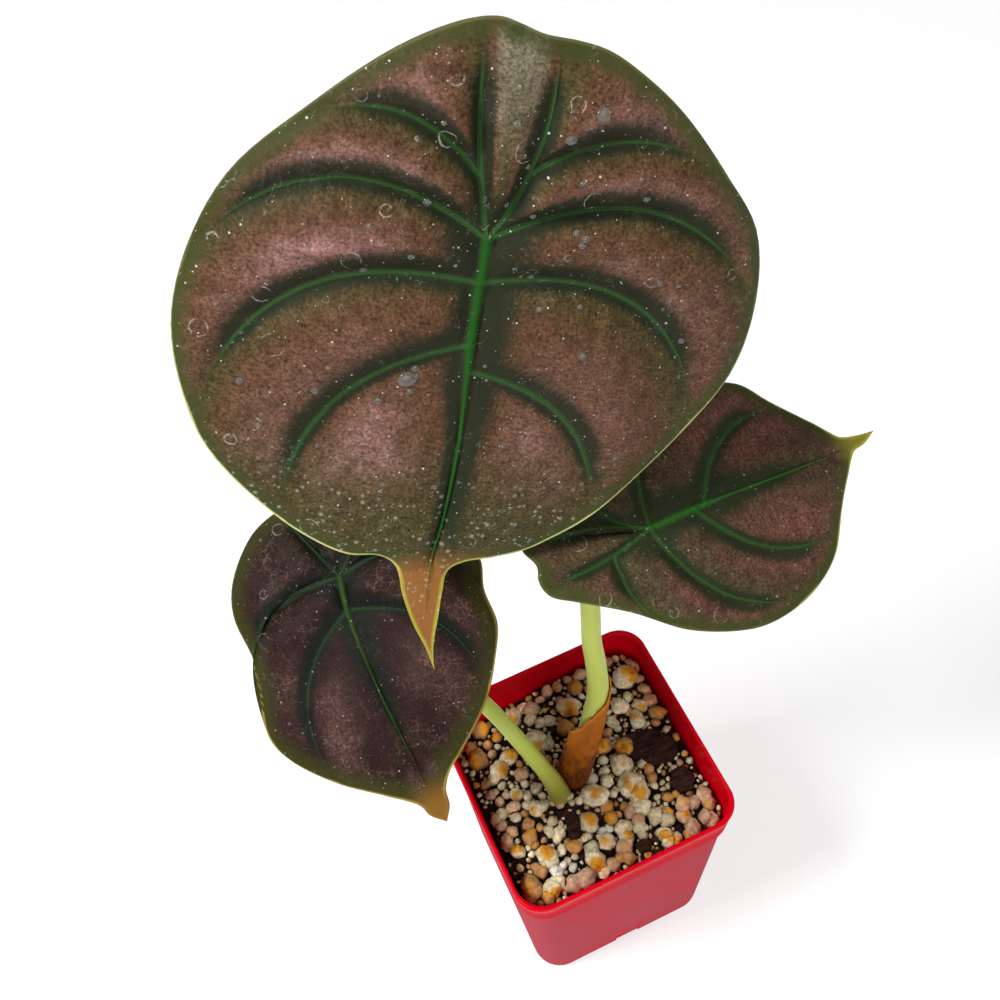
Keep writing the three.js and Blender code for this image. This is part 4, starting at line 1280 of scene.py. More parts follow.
@dataclass
class Petiole:
    """One fleshy leaf stalk: a round stem along a curve, with radii as (share of the length, radius)."""

    node: str
    path: tuple[Point, ...]
    radii: tuple[tuple[float, float], ...]
    finish: FleshyStalk
    around: int = 32
    steps: int = 130

    def radius(self, share: np.ndarray) -> np.ndarray:
        """Radius at shares of the length."""
        return np.interp(share, [s for s, _ in self.radii], [r for _, r in self.radii])

    def build(self) -> bpy.types.Object:
        """Wrap a grid round the centre line and close both ends.

        Returns:
            The stalk.
        """
        line = StemLine(self.path)
        bm, column, row = grid_shares(self.around, self.steps + 2)
        share = np.clip((row - 1) / self.steps, 0, 1)
        centre, across, beside = line.frames(share)
        angle = (column % self.around) * 2 * math.pi / self.around
        flute = 1 + 0.012 * np.sin(angle * 9 + share * 5) + 0.01 * np.sin(share * 61)
        radius = self.radius(share) * flute * ((row > 0) & (row < self.steps + 2))
        ring = across * np.cos(angle)[:, None] + beside * np.sin(angle)[:, None]
        move_all(bm, centre + ring * radius[:, None])
        sheet = bm.loops.layers.uv.new("stalk_mm")
        bm.verts.index_update()
        length, girth = line.lengths[-1], 2 * math.pi * self.radii[0][1]
        for face in bm.faces:
            for loop in face.loops:
                i = loop.vert.index
                loop[sheet].uv = (column[i] / self.around * girth, share[i] * length)
        along = bm.verts.layers.float.new("along")
        for vertex, value in zip(bm.verts, share):
            vertex[along] = value
        close_up(bm)
        return as_piece(bm, self.node + "_stalk", self.finish.material(), "petiole", self.node, sharp=80)


@dataclass
class Sheath:
    """The dried sheath round the foot of the tallest petiole, with a ragged top and a torn flap.

    It goes round from start to end, in degrees. flare and foot_flare are how far it stands off at its middle
    and at its foot, tear is how much lower its top runs at the start, and flap is how far the torn part of
    its top curls outwards.
    """

    petiole: Petiole
    foot: float = 90.0
    top: float = 143.5
    thickness: float = 0.45
    gap: float = 0.5
    flare: float = 1.3
    foot_flare: float = 1.7
    start: float = -205.0
    end: float = 20.0
    turns: int = 90
    rows: int = 80
    tear: float = 24.0
    flap: float = 3.0
    finish: DrySheath = DrySheath()

    def build(self) -> bpy.types.Object:
        """Wrap a thin sheet round the stem and thicken it.

        Returns:
            The sheath.
        """
        line = StemLine(self.petiole.path)
        bm, column, row = grid_shares(self.turns, self.rows)
        turn, rise = column / self.turns, row / self.rows
        ragged = noise_at(turn * 9, 0.3, 7) + 0.5 * noise_at(turn * 31, 2, 7)
        height = self.top - self.tear * (1 - turn) ** 1.5 + 2.0 * ragged
        foot = line.share_at_height(np.full_like(turn, self.foot))
        share = foot + (line.share_at_height(height) - foot) * rise
        centre, across, beside = line.frames(share)
        fold = noise_at(turn * 6, rise * 3, 1.5)
        swell = self.flare * np.sin(np.pi * np.minimum(1, rise * 1.3)) * (1 - turn)
        swell += self.foot_flare * np.exp(-((rise / 0.45) ** 2)) * smoothstep(1 - turn, 0.15, 0.6)
        flap = self.flap * np.exp(-(((turn - 0.12) / 0.1) ** 2)) * smoothstep(rise, 0.5, 0.85) ** 1.5
        radius = self.petiole.radius(share) + self.gap + swell + 0.35 * fold + flap
        angle = np.radians(self.start + (self.end - self.start) * turn)
        ring = across * np.cos(angle)[:, None] + beside * np.sin(angle)[:, None]
        points = centre + ring * radius[:, None]
        points[:, 2] -= flap * 0.55
        move_all(bm, points)
        torn = np.maximum(smoothstep(rise, 0.93, 1.0), smoothstep(flap, 1.0, 5.0) * 0.9)
        torn = np.maximum(torn, smoothstep(turn, 0.93, 1.0) * 0.6)
        layers = [bm.verts.layers.float.new(name) for name in ("rise", "torn")]
        for vertex, values in zip(bm.verts, np.column_stack([rise, torn])):
            vertex[layers[0]], vertex[layers[1]] = values
        bmesh.ops.recalc_face_normals(bm, faces=bm.faces[:])
        bmesh.ops.solidify(bm, geom=bm.faces[:], thickness=self.thickness * MM)
        bmesh.ops.recalc_face_normals(bm, faces=bm.faces[:])
        return as_piece(bm, "papery_sheath", self.finish.material(), "dried_sheath", "dried_sheath", sharp=60)


# Blades


@dataclass(frozen=True)
class Half:
    """One half of a blade, from the middle of its back edge round to its tip.

    margin holds points of its edge. Each rib is (place on the margin, root on the midrib, bow of its curve,
    lift of the surface), and a rib with no lift is a vein. fork, where given, is (parent rib, branch rib,
    share of the parent's length at which the branch leaves it, bow of the branch).
    """

    side: int
    margin: tuple[Plan, ...]
    ribs: tuple[tuple[float, float, float, float], ...]
    fork: tuple[int, int, float, float] | None = None


@dataclass
class Blade:
    """One shield-shaped blade.

    It is drawn in its own plane: the petiole joins at 0, 0, +Y runs to the tip, and +Z leaves the upper face.

    Attributes:
        node: The CAD node that it stands for.
        hub: Where the petiole joins it.
        azimuth, elevation, turn: Where its face looks, and its turn about that line, in degrees.
        dome: How fast it falls away across and along, per millimetre.
        puff, wave: Height of the swellings between veins, and of the margin's waves.
        midrib: Points of the midrib, from the hub to the tip.
        plus, minus: Its two halves.
        skin, slot: Its finish, and the record's slot for it.
        rib_width, vein_width: Half widths of the midrib and of a side vein.
        density, rings: Rays to a unit of the margin, and points along a ray.
        thickness, keel: Its thickness, and how far the midrib stands out below.
        pucker, pucker_mm: Height and size of the small dents.
        warmth, blush: Share of the crown colour all over, and spots with more of it as (x, y, reach, more);
            the crown's pink is partly painted sheen.
        olive_tip, pale_panel: Strength of the green towards the tip, and of the panel at the back.
        tip_length: Length of the ochre tip.
        top_points, top_plan: The built upper face, in the part's frame and in the blade's plane.
    """

    node: str
    hub: Point
    azimuth: float
    elevation: float
    turn: float
    dome: Plan
    puff: float
    wave: float
    midrib: tuple[Plan, ...]
    plus: Half
    minus: Half
    skin: LeafSkin
    slot: str
    rib_width: float = 1.3
    vein_width: float = 0.46
    density: float = 9.0
    rings: int = 84
    thickness: float = 0.9
    keel: float = 1.5
    pucker: float = 0.42
    pucker_mm: float = 5.2
    warmth: float = 1.0
    blush_and_sheen: tuple[tuple[float, float, float, float], ...] = ()
    olive_tip: float = 0.0
    pale_panel: float = 0.0
    tip_length: float = 35.0
    top_points: np.ndarray = field(init=False, repr=False)
    top_plan: np.ndarray = field(init=False, repr=False)

    def place(self, plan: np.ndarray) -> np.ndarray:
        """Carry points from the blade's own frame to the part's.

        Args:
            plan: Points in the blade's frame, one a row.

        Returns:
            The same points in the part's frame.
        """
        a, e, t = (math.radians(v) for v in (self.azimuth, self.elevation, self.turn))
        normal = np.array([math.sin(a) * math.cos(e), -math.cos(a) * math.cos(e), math.sin(e)])
        level = np.array([math.cos(a), math.sin(a), 0.0])
        to_tip = level * math.sin(t) - np.cross(normal, level) * math.cos(t)
        return np.array(self.hub) + plan @ np.stack([np.cross(to_tip, normal), to_tip, normal])

    def stations(self) -> np.ndarray:
        """Crowd the rays' roots next to the veins.

        Returns:
            Places along the midrib that both halves share.
        """
        roots = sorted({rib[1] for half in (self.plus, self.minus) for rib in half.ribs})
        found: list[float] = []
        for low, high in zip(roots, roots[1:]):
            spans = [self.edge_at(half, high) - self.edge_at(half, low) for half in (self.plus, self.minus)]
            found.extend(low + (high - low) * self.crowd(max(spans))[1:])
        return np.array(found)

    def crowd(self, span: float) -> np.ndarray:
        """Shares from 0 to 1 that lie closer together at both ends."""
        t = np.linspace(0, 1, max(4, math.ceil(span * self.density)) + 1)
        return t - 0.135 * np.sin(2 * math.pi * t)

    @staticmethod
    def edge_at(half: Half, root: float) -> float:
        """Place on the margin of the ray that leaves the midrib at a root."""
        ribs = [rib for i, rib in enumerate(half.ribs) if rib[1] > 0 or half.ribs[i + 1][1] > 0]
        return float(np.interp(root, [rib[1] for rib in ribs], [rib[0] for rib in ribs]))

    @staticmethod
    def lift_between(a: float, b: float, share: float) -> float:
        """Lift between two ribs: zero on a vein, swelling between two of them.

        Args:
            a: Lift of the first rib.
            b: Lift of the second.
            share: Share of the way from one to the other.

        Returns:
            The lift there.
        """
        if a == 0 and b == 0:
            return math.sin(math.pi * share)
        if a == 0:
            return b * math.sin(math.pi / 2 * share)
        if b == 0:
            return a * math.cos(math.pi / 2 * share)
        return a + (b - a) * share

    def rays(self, half: Half) -> np.ndarray:
        """Lay out the rays of a half.

        Args:
            half: The half.

        Returns:
            A row for each ray: edge, root, bow, lift, vein, share of its gap, and the gap's number.
        """
        tail = self.midrib[-1][1] * 0.7

        def between(i: int, share: float) -> tuple[float, ...]:
            """Blend two neighbouring ribs.

            Args:
                i: Number of the first.
                share: Share of the way to the next.

            Returns:
                The ray's row.
            """
            a, b = half.ribs[i], half.ribs[i + 1]
            edge, root, bow = (a[k] + (b[k] - a[k]) * share for k in range(3))
            on_rib = (share < 1e-6 and a[3] == 0) or (share > 1 - 1e-6 and b[3] == 0)
            lift = self.lift_between(a[3], b[3], share)
            return edge, root, bow, lift, float(on_rib and root < tail), share, i

        found = [between(0, 0.0)]
        i = 0
        while half.ribs[i + 1][1] == 0:
            found += [between(i, share) for share in self.crowd(half.ribs[i + 1][0] - half.ribs[i][0])[1:]]
            i += 1
        for station in self.stations():
            while station > half.ribs[i + 1][1] + 1e-9:
                i += 1
            low, high = half.ribs[i][1], half.ribs[i + 1][1]
            found.append(between(i, (station - low) / (high - low)))
        return np.array(found)

    def half_sheet(self, half: Half, s: np.ndarray) -> tuple[np.ndarray, np.ndarray]:
        """Plan points of one half.

        Args:
            half: The half.
            s: Shares of the way along each ray.

        Returns:
            Points as rays by rings by 2, and the rays' own numbers.
        """
        rays = self.rays(half)
        spine = curve_through(np.array(self.midrib, float), np.linspace(0, len(self.midrib) - 1, 2000))
        root = np.column_stack([np.interp(rays[:, 1], spine[:, 1], spine[:, 0]), rays[:, 1]])
        root[rays[:, 1] <= 0] = 0.0
        edge = curve_through(np.array(half.margin, float), rays[:, 0])
        chord = edge - root
        aside = np.column_stack([chord[:, 1], -chord[:, 0]]) * half.side
        control = root + chord / 2 + aside * 2 * rays[:, 2:3]
        t = s[None, :, None]
        sheet = (1 - t) ** 2 * root[:, None] + 2 * t * (1 - t) * control[:, None] + t**2 * edge[:, None]
        if half.fork:
            self.join_fork(half, rays, sheet, edge, control, s)
        return sheet, rays

    def join_fork(
        self,
        half: Half,
        rays: np.ndarray,
        sheet: np.ndarray,
        edge: np.ndarray,
        control: np.ndarray,
        s: np.ndarray,
    ) -> None:
        """Let a branch vein leave its parent vein instead of the hub.

        Args:
            half: The half, with its fork.
            rays: Its rays' numbers.
            sheet: Its points, changed in place.
            edge: Each ray's end.
            control: Each ray's control point.
            s: Shares of the way along each ray.
        """
        parent, branch, reach, bow = half.fork
        places = [half.ribs[k][0] for k in (parent, branch, branch + 1)]
        first, last, after = (int(np.argmin(abs(rays[:, 0] - place))) for place in places)
        stem, before = sheet[first].copy(), sheet[last].copy()
        start = np.array([np.interp(reach, s, stem[:, k]) for k in range(2)])
        chord = edge[last] - start
        leave = start + chord / 2 + np.array([chord[1], -chord[0]]) * half.side * 2 * bow
        keep = control[first] * (1 - reach) + edge[first] * reach
        t = np.clip((s - reach) / (1 - reach), 0, 1)[:, None]
        for k in range(first, last + 1):
            q = (rays[k, 0] - rays[first, 0]) / (rays[last, 0] - rays[first, 0])
            middle = keep * (1 - q) + leave * q
            path = (1 - t) ** 2 * start + 2 * t * (1 - t) * middle + t**2 * edge[k]
            sheet[k] = np.where(s[:, None] <= reach, stem, path)
        for k in range(last + 1, after + 1):
            q = (rays[k, 0] - rays[last, 0]) / (rays[after, 0] - rays[last, 0])
            sheet[k] += (sheet[last] - before) * (1 - q)

    def surface(self) -> dict[str, np.ndarray]:
        """Work out the whole upper face.

        Returns:
            Plan points, height, the drop to the underside, and the marks that the skin follows.
        """
        s = np.linspace(0, 1, self.rings + 1) ** 1.15
        plus, plus_rays = self.half_sheet(self.plus, s)
        minus, minus_rays = self.half_sheet(self.minus, s)
        plan = np.concatenate([plus[::-1], minus[1:]])
        rays = np.concatenate([plus_rays[::-1], minus_rays[1:]])
        side = np.concatenate([np.ones(len(plus)), -np.ones(len(minus) - 1)])
        edge, root, _, lift, vein, share, sector = rays.T
        length = np.linalg.norm(plan[:, -1] - plan[:, 0], axis=1)[:, None]
        full = np.minimum(1, length / 20)
        marks = self.marks(plan, vein, root, s, side, sector, share)
        x, y = plan[..., 0], plan[..., 1]

        taper = 1 - 0.5 * smoothstep(root / self.midrib[-1][1], 0.2, 0.4)
        bare = (np.where(root > 0, self.rib_width, 0.0) * taper)[:, None]
        risen = np.clip((s[None] * length - bare) / np.maximum(length - bare, 1e-6), 0, 1)
        swell = np.sin(np.pi * risen**0.65) ** 0.8
        swell[:, [0, -1]] = 0
        start = np.zeros_like(root)
        for half, here in ((self.plus, side > 0), (self.minus, side < 0)):
            if half.fork:
                start[here & (sector == half.fork[0])] = half.fork[2]
        ease = np.where(root[:, None] > 0, 1.0, smoothstep(s[None] - start[:, None], 0, 0.3))
        near_tip = root[:, None] > 0.7 * self.midrib[-1][1]
        crown = lift[:, None] * ease * swell * np.where(near_tip, full**2, 1.0)
        height = -self.dome[0] * x**2 - self.dome[1] * y**2 + self.puff * crown
        outer = np.clip((s - 0.62) / 0.38, 0, 1) ** 2
        height += self.wave * full * outer * np.sin(edge * 1.7)[:, None]
        dents = self.pucker * noise_at(x, y, 5.0, self.pucker_mm) + 0.1 * noise_at(x, y, 9.0, 1.9)
        height += dents * (full * np.sin(np.pi * s) * (1 - marks["vein"]) * (1 - marks["rib"]))
        height += 0.4 * marks["vein"] ** 0.6 + 0.75 * np.sqrt(marks["rib"]) - 0.35 * marks["valley"] * full
        marks.update(plan=plan, height=height)
        tip = self.midrib[-1][1]
        keel = self.keel * ((s == 0) * (1 - root / tip)[:, None])
        marks["under_drop"] = self.thickness + keel + 0.7 * marks["vein"] * full
        return marks

    def marks(
        self,
        plan: np.ndarray,
        vein: np.ndarray,
        root: np.ndarray,
        s: np.ndarray,
        side: np.ndarray,
        sector: np.ndarray,
        share: np.ndarray,
    ) -> dict[str, np.ndarray]:
        """Measure how near each point is to veins, midrib, margin and tip, and how it is coloured for it.

        Args:
            plan: Points as rays by rings by 2.
            vein: 1 for each ray that is a vein.
            root: Each ray's root on the midrib.
            s: Shares along the rays.
            side: 1 or -1 for the half that each ray is in.
            sector: Number of the gap between ribs that each ray is in.
            share: Each ray's share of the way over that gap.

        Returns:
            A value for each point under each mark's name.
        """
        shape = plan.shape[:2]
        flat = plan.reshape(-1, 2)
        tip = self.midrib[-1][1]

        def nearest(points: np.ndarray) -> tuple[np.ndarray, np.ndarray]:
            """Look up the nearest of some points for each place on the blade.

            Args:
                points: X and Y, one point a row.

            Returns:
                The distance to it, and its number.
            """
            tree = KDTree(len(points))
            for i, p in enumerate(points):
                tree.insert((p[0], p[1], 0), i)
            tree.balance()
            found = [tree.find((p[0], p[1], 0))[1:] for p in flat]
            index, gap = np.array([f[0] for f in found]), np.array([f[1] for f in found])
            return gap.reshape(shape), index.reshape(shape)

        lines = plan[vein > 0]
        fine = np.linspace(0, 1, 3 * len(s))
        traced = [np.column_stack([np.interp(fine, s, line[:, k]) for k in range(2)]) for line in lines]
        gap, index = nearest(np.concatenate(traced))
        along = np.tile(fine, len(lines))[index]
        run = along * 45 + 60.0 * (index // len(fine))
        spine = curve_through(np.array(self.midrib, float), np.linspace(0, len(self.midrib) - 1, 900))
        spine_gap, spine_at = nearest(spine)
        reach = spine[spine_at, 1] / tip
        spine_width = self.rib_width * (0.5 + 0.5 * (1 - smoothstep(reach, 0.2, 0.32)) - 0.25 * reach)
        rim_gap, _ = nearest(plan[:, -1])
        distance = np.hypot(plan[..., 0], plan[..., 1])
        end_gap = np.hypot(plan[..., 0] - self.midrib[-1][0], plan[..., 1] - tip)

        flank = np.broadcast_to(share[:, None], shape)
        tail = np.broadcast_to((sector == self.last_vein(side))[:, None], shape)
        behind = np.where(tail, 0.0, smoothstep(flank, 0.35, 0.65))
        back = ((sector == 0) & (root == 0))[:, None]
        # Painted shade along the veins, broader behind each vein, and by the midrib, broader on the side
        # where its shade falls
        spread = (2.4 + 2.6 * behind) * (1 - 0.25 * along) * self.rib_width / 1.3 * np.where(back, 0.75, 1.0)
        shadow = np.exp(-((gap / spread) ** 2)) * (1 - 0.85 * smoothstep(along, 0.62, 0.95))
        broad = np.where(side < 0, 7.5, 5.0)[:, None] * self.rib_width / 1.25
        by_rib = np.exp(-((spine_gap / (broad * (1 - 0.4 * smoothstep(reach, 0.25, 0.45)))) ** 2))
        shadow = np.maximum(shadow, by_rib * (1 - (1 - 0.35 * self.olive_tip) * smoothstep(reach, 0.4, 0.8)))
        shadow = np.maximum(shadow, np.exp(-((distance / (7.2 * self.rib_width)) ** 2)))

        # Crown: pink on the flank of each swelling that faces the light, partly the leaf's own colour and
        # partly painted sheen. Olive: the other flank, partly painted shade, and towards the big blade's tip
        body = smoothstep(s, 0.12, 0.4) * (1 - 0.8 * smoothstep(s, 0.74, 0.97))
        upper = smoothstep(flank, 0.32, 0.72) * (1 - 0.25 * smoothstep(flank, 0.85, 1.0))
        lower = smoothstep(flank, 0.02, 0.2) * (1 - smoothstep(flank, 0.35, 0.8))
        crown = np.where(tail, 0.85 * lower, upper) * body
        # Spots with more crown colour, partly painted sheen where the blade catches the light
        warm = np.full(shape, self.warmth)
        for cx, cy, reach_mm, more in self.blush_and_sheen:
            warm += more * np.exp(-((plan[..., 0] - cx) ** 2 + (plan[..., 1] - cy) ** 2) / reach_mm**2)
        crown *= np.minimum(warm, 1.0)
        crown *= 1 - self.olive_tip * smoothstep(plan[..., 1], 0.44 * tip, 0.64 * tip)
        olive = 0.85 * (1 - smoothstep(flank, 0.05, 0.42)) * ~tail
        olive = np.maximum(olive, self.olive_tip * smoothstep(plan[..., 1], 0.32 * tip, 0.6 * tip))
        lone = smoothstep(root, 0.6 * tip, 0.75 * tip)[:, None]
        brown = 1 - smoothstep(end_gap, self.tip_length - 4.5, self.tip_length + 4.5)
        narrowing = self.vein_width * (1.15 - 0.65 * along)
        panel = self.pale_panel * back * smoothstep(s, 0.2, 1.0)
        return {
            "vein": np.exp(-((gap / narrowing) ** 4)) * (1 - smoothstep(along, 0.72, 0.95)),
            "rib": np.clip(1 - (spine_gap / spine_width) ** 2, 0, 1) * (1 - smoothstep(reach, 0.6, 0.86)),
            "valley": shadow * smoothstep(rim_gap, 0.5, 5.0) * (1 - lone),
            "rim": rim_gap / (1 + 0.8 * brown),
            "tip": brown,
            "pale": panel * (1 - 0.7 * shadow) * smoothstep(gap, 0.8, 3.5),
            "crown": crown * ~back,
            "olive": olive,
            "run": run,
            "gap": gap,
        }

    def last_vein(self, side: np.ndarray) -> np.ndarray:
        """Number of the last side vein's rib.

        Args:
            side: 1 or -1 for the half that each ray is in.

        Returns:
            The number for each ray.
        """
        tail = self.midrib[-1][1] * 0.7
        last = [
            max(i for i, rib in enumerate(half.ribs) if rib[3] == 0 and rib[1] < tail)
            for half in (self.plus, self.minus)
        ]
        return np.where(side > 0, last[0], last[1])

    def build(self) -> bpy.types.Object:
        """Bend a closed double grid to the two faces of the blade and dress it.

        Returns:
            The blade.
        """
        face = self.surface()
        columns, rows = face["plan"].shape[0] - 1, face["plan"].shape[1] - 1
        bm, column, row = grid_shares(columns, rows)
        copy = bmesh.ops.duplicate(bm, geom=bm.verts[:] + bm.edges[:] + bm.faces[:])["geom"]
        lower = [g for g in copy if isinstance(g, bmesh.types.BMVert)]
        bmesh.ops.translate(bm, verts=lower, vec=(0, 0, -0.01))
        bmesh.ops.reverse_faces(bm, faces=[g for g in copy if isinstance(g, bmesh.types.BMFace)])
        rim = [e for e in bm.edges if e.is_boundary and all(v.co.y > 0.4999 for v in e.verts)]
        bmesh.ops.bridge_loops(bm, edges=rim)
        flat = np.array([v.co[:] for v in bm.verts])
        column = np.rint((flat[:, 0] + 0.5) * columns).astype(int)
        row = np.rint((flat[:, 1] + 0.5) * rows).astype(int)
        below = flat[:, 2] < -0.005
        plan = face["plan"][column, row]
        height = face["height"][column, row] - below * face["under_drop"][column, row]
        move_all(bm, self.place(np.column_stack([plan, height])))
        names = ("crown", "olive", "valley", "vein", "rib", "rim", "tip", "pale")
        values = np.column_stack([face[name][column, row] for name in names] + [below])
        layers = [bm.verts.layers.float.new(name) for name in (*names, "under")]
        sheet = bm.loops.layers.uv.new("leaf_mm")
        combed = bm.loops.layers.uv.new("vein_mm")
        by_vein = np.column_stack([face["run"][column, row], face["gap"][column, row]])
        for vertex, numbers in zip(bm.verts, values):
            for layer, number in zip(layers, numbers):
                vertex[layer] = number
        bm.verts.index_update()
        for polygon in bm.faces:
            for loop in polygon.loops:
                loop[sheet].uv = plan[loop.vert.index]
                loop[combed].uv = by_vein[loop.vert.index]
        close_up(bm)
        piece = as_piece(bm, self.node + "_skin", self.skin.material(), self.slot, self.node, sharp=70)
        self.top_points = self.place(np.dstack([face["plan"], face["height"]]).reshape(-1, 3))
        self.top_plan = face["plan"].reshape(-1, 2)
        return piece

    def on_top(self, x: float, y: float) -> Vector:
        """A point of the upper face, from its place in the blade's plane."""
        nearest = np.argmin(np.hypot(self.top_plan[:, 0] - x, self.top_plan[:, 1] - y))
        return Vector(self.top_points[nearest])


@dataclass
class Droplets:
    """Water left on the big blade: a few drops seen in place as (x, y, radius), and seeded small ones."""

    blade: Blade
    seen: tuple[tuple[float, float, float], ...]
    extra: int = 46
    seed: int = 8
    finish: Water = Water()

    def build(self) -> bpy.types.Object:
        """Flatten a small ball onto the blade for each drop.

        Returns:
            All drops as one piece.
        """
        random = np.random.default_rng(self.seed)
        drops = list(self.seen)
        while len(drops) < len(self.seen) + self.extra:
            x, y = random.uniform(-48, 48), random.uniform(-30, 62)
            if math.hypot(x / 50, (y - 16) / 48) < 1:
                drops.append((x, y, random.uniform(0.35, 0.95)))
        normal = Vector(self.blade.place(np.array([[0, 0, 1.0]]))[0] - np.array(self.blade.hub))
        turn = normal.to_track_quat("Z", "Y").to_matrix().to_4x4()
        bm = bmesh.new()
        for x, y, radius in drops:
            lift = Matrix.Translation((self.blade.on_top(x, y) + normal * 0.05) * MM)
            narrow = random.uniform(0.75, 1)
            squash = Matrix.Diagonal((radius * MM, radius * narrow * MM, radius * 0.3 * MM, 1))
            bmesh.ops.create_icosphere(bm, subdivisions=2, radius=1.0, matrix=lift @ turn @ squash)
        return as_piece(bm, "water_drops", self.finish.material(), self.blade.slot, sharp=89)


# The plant, its pot and the studio


@dataclass
class Studio:
    """Plain pale floor, soft light and a camera that looks down at the plant from the front.

    The camera looks from azimuth and elevation with its roll, in degrees, through a lens in millimetres.
    """

    camera_at: Point = (-59.1, -132.2, 469.8)
    azimuth: float = -18.1
    elevation: float = 56.0
    roll: float = -7.7
    lens: float = 43.04
    floor_half: float = 4000.0
    room_light: float = 0.17

    def build_camera(self) -> None:
        """Place the camera and make it the scene's."""
        a, e, r = (math.radians(v) for v in (self.azimuth, self.elevation, self.roll))
        back = Vector((math.sin(a) * math.cos(e), -math.cos(a) * math.cos(e), math.sin(e)))
        right = Vector((math.cos(a), math.sin(a), 0))
        up = back.cross(right)
        axes = (right * math.cos(r) + up * math.sin(r), up * math.cos(r) - right * math.sin(r), back)
        lens = bpy.data.cameras.new("photo_view")
        lens.lens, lens.sensor_width, lens.sensor_fit = self.lens, 36.0, "HORIZONTAL"
        lens.clip_start, lens.clip_end = 0.01, 50
        camera = bpy.data.objects.new("photo_view", lens)
        turn = Matrix([[axis[k] for axis in axes] for k in range(3)]).to_4x4()
        camera.matrix_world = Matrix.Translation(Vector(self.camera_at) * MM) @ turn
        bpy.context.scene.collection.objects.link(camera)
        bpy.context.scene.camera = camera

    def build_floor(self) -> None:
        """Lay the floor at the pot's foot."""
        bm = bmesh.new()
        bmesh.ops.create_grid(bm, x_segments=2, y_segments=2, size=self.floor_half * MM)
        bmesh.ops.translate(bm, verts=bm.verts[:], vec=(0, 0, -0.0002))
        mesh = bpy.data.meshes.new("paper_floor")
        bm.to_mesh(mesh)
        bm.free()
        mesh.materials.append(PaleSweep().material())
        floor = bpy.data.objects.new("paper_floor", mesh)
        bpy.context.scene.collection.objects.link(floor)

    def add_light(self, name: str, at: Point, aim: Point, size: float, power: float) -> None:
        """Add one soft square lamp.

        Args:
            name: Its name.
            at: Where it hangs, in metres.
            aim: What it points at, in metres.
            size: Its side, in metres.
            power: Its power in watts.
        """
        lamp = bpy.data.lights.new(name, "AREA")
        lamp.shape, lamp.size, lamp.energy = "SQUARE", size, power
        light = bpy.data.objects.new(name, lamp)
        turn = (Vector(at) - Vector(aim)).to_track_quat("Z", "Y").to_matrix().to_4x4()
        light.matrix_world = Matrix.Translation(at) @ turn
        bpy.context.scene.collection.objects.link(light)

    def build(self) -> None:
        """Build everything that isn't part of the object."""
        self.build_camera()
        self.build_floor()
        world = bpy.data.worlds.new("white_room")
        world.use_nodes = True
        sky = world.node_tree.nodes["Background"]
        sky.inputs["Color"].default_value = linear("#FFFFFF")
        sky.inputs["Strength"].default_value = self.room_light
        bpy.context.scene.world = world
        bpy.context.scene.view_settings.view_transform = "Standard"
        self.add_light("key", (-0.7, 0.1, 1.2), (0, 0, 0.15), 0.32, 14)
        self.add_light("fill", (0.9, -0.3, 1.2), (0, 0, 0.15), 1.2, 4)
        self.add_light("front", (-0.25, -1.1, 0.8), (0, 0, 0.1), 0.8, 6)


# The three leaves' colours: the big one bronze, the left one nearly black, partly painted shade as it hangs
# away from the light under the big leaf
BIG_SKIN = LeafSkin(
    name="leaf_skin_bronze",
    ground="#60422F",
    crown="#B0827E",
    olive="#484324",
    valley="#20291A",
    vein="#2E5226",
    rib="#1E5616",
    margin="#414723",
    edge="#D2D084",
    tip="#96622E",
)
RIGHT_SKIN = LeafSkin(
    name="leaf_skin_maroon",
    ground="#4E3C2C",
    crown="#6E463C",
    olive="#4A4229",
    valley="#242E1A",
    vein="#2C4E1E",
    rib="#2A5E1C",
    margin="#3F451F",
    margin_mm=4.0,
    edge="#A8A050",
    tip="#8A8232",
    dust=0.6,
    film_from=900.0,
    rim_highlight_from=10.0,
)
LEFT_SKIN = LeafSkin(
    name="leaf_skin_dark",
    ground="#291512",
    crown="#5A403C",
    olive="#2A2014",
    valley="#141812",
    vein="#22391A",
    rib="#2E4A1D",
    margin="#37370F",
    margin_mm=6.5,
    tip_rim_highlight="#8A6420",
    edge="#A08838",
    tip="#7C561E",
    gloss=0.14,
    dust=0.6,
    film_from=900.0,
    rim_highlight_from=10.0,
    veinlets=0.24,
)

# The plant's own places and outlines, measured in the part's frame
BED = Bed()
POT = Pot()
BARK_CHIPS = (
    BarkChip(
        "bark_chip_1",
        (
            (-9, 0.7), (-2.4, -6.2), (4.2, -7.2), (7.6, -4.8), (7.8, -0.4), (3.5, 5.4), (-3.7, 7.4),
            (-9, 5),
        ),
        at=(24.6, -1.9),
        turn=0,
        bed=BED,
    ),
    BarkChip(
        "bark_chip_2",
        ((-4.8, 0.4), (-2.9, -3.8), (1.5, -4.2), (4, -0.9), (3, 4), (-1.2, 4.2)),
        at=(28.2, -16.4),
        turn=0,
        bed=BED,
    ),
    BarkChip(
        "bark_chip_3",
        ((-2.9, -3.4), (-0.6, -4.5), (2, -1.3), (3.4, 3.6), (0.3, 4.6), (-2.2, 1)),
        at=(-11, -15.2),
        turn=0,
        bed=BED,
    ),
    BarkChip(
        "bark_chip_4",
        ((-2.4, -1.7), (0.9, -2.4), (2.8, -0.2), (1.2, 2.2), (-2.4, 2.2)),
        at=(6.6, -30.2),
        turn=8,
        bed=BED,
    ),
)
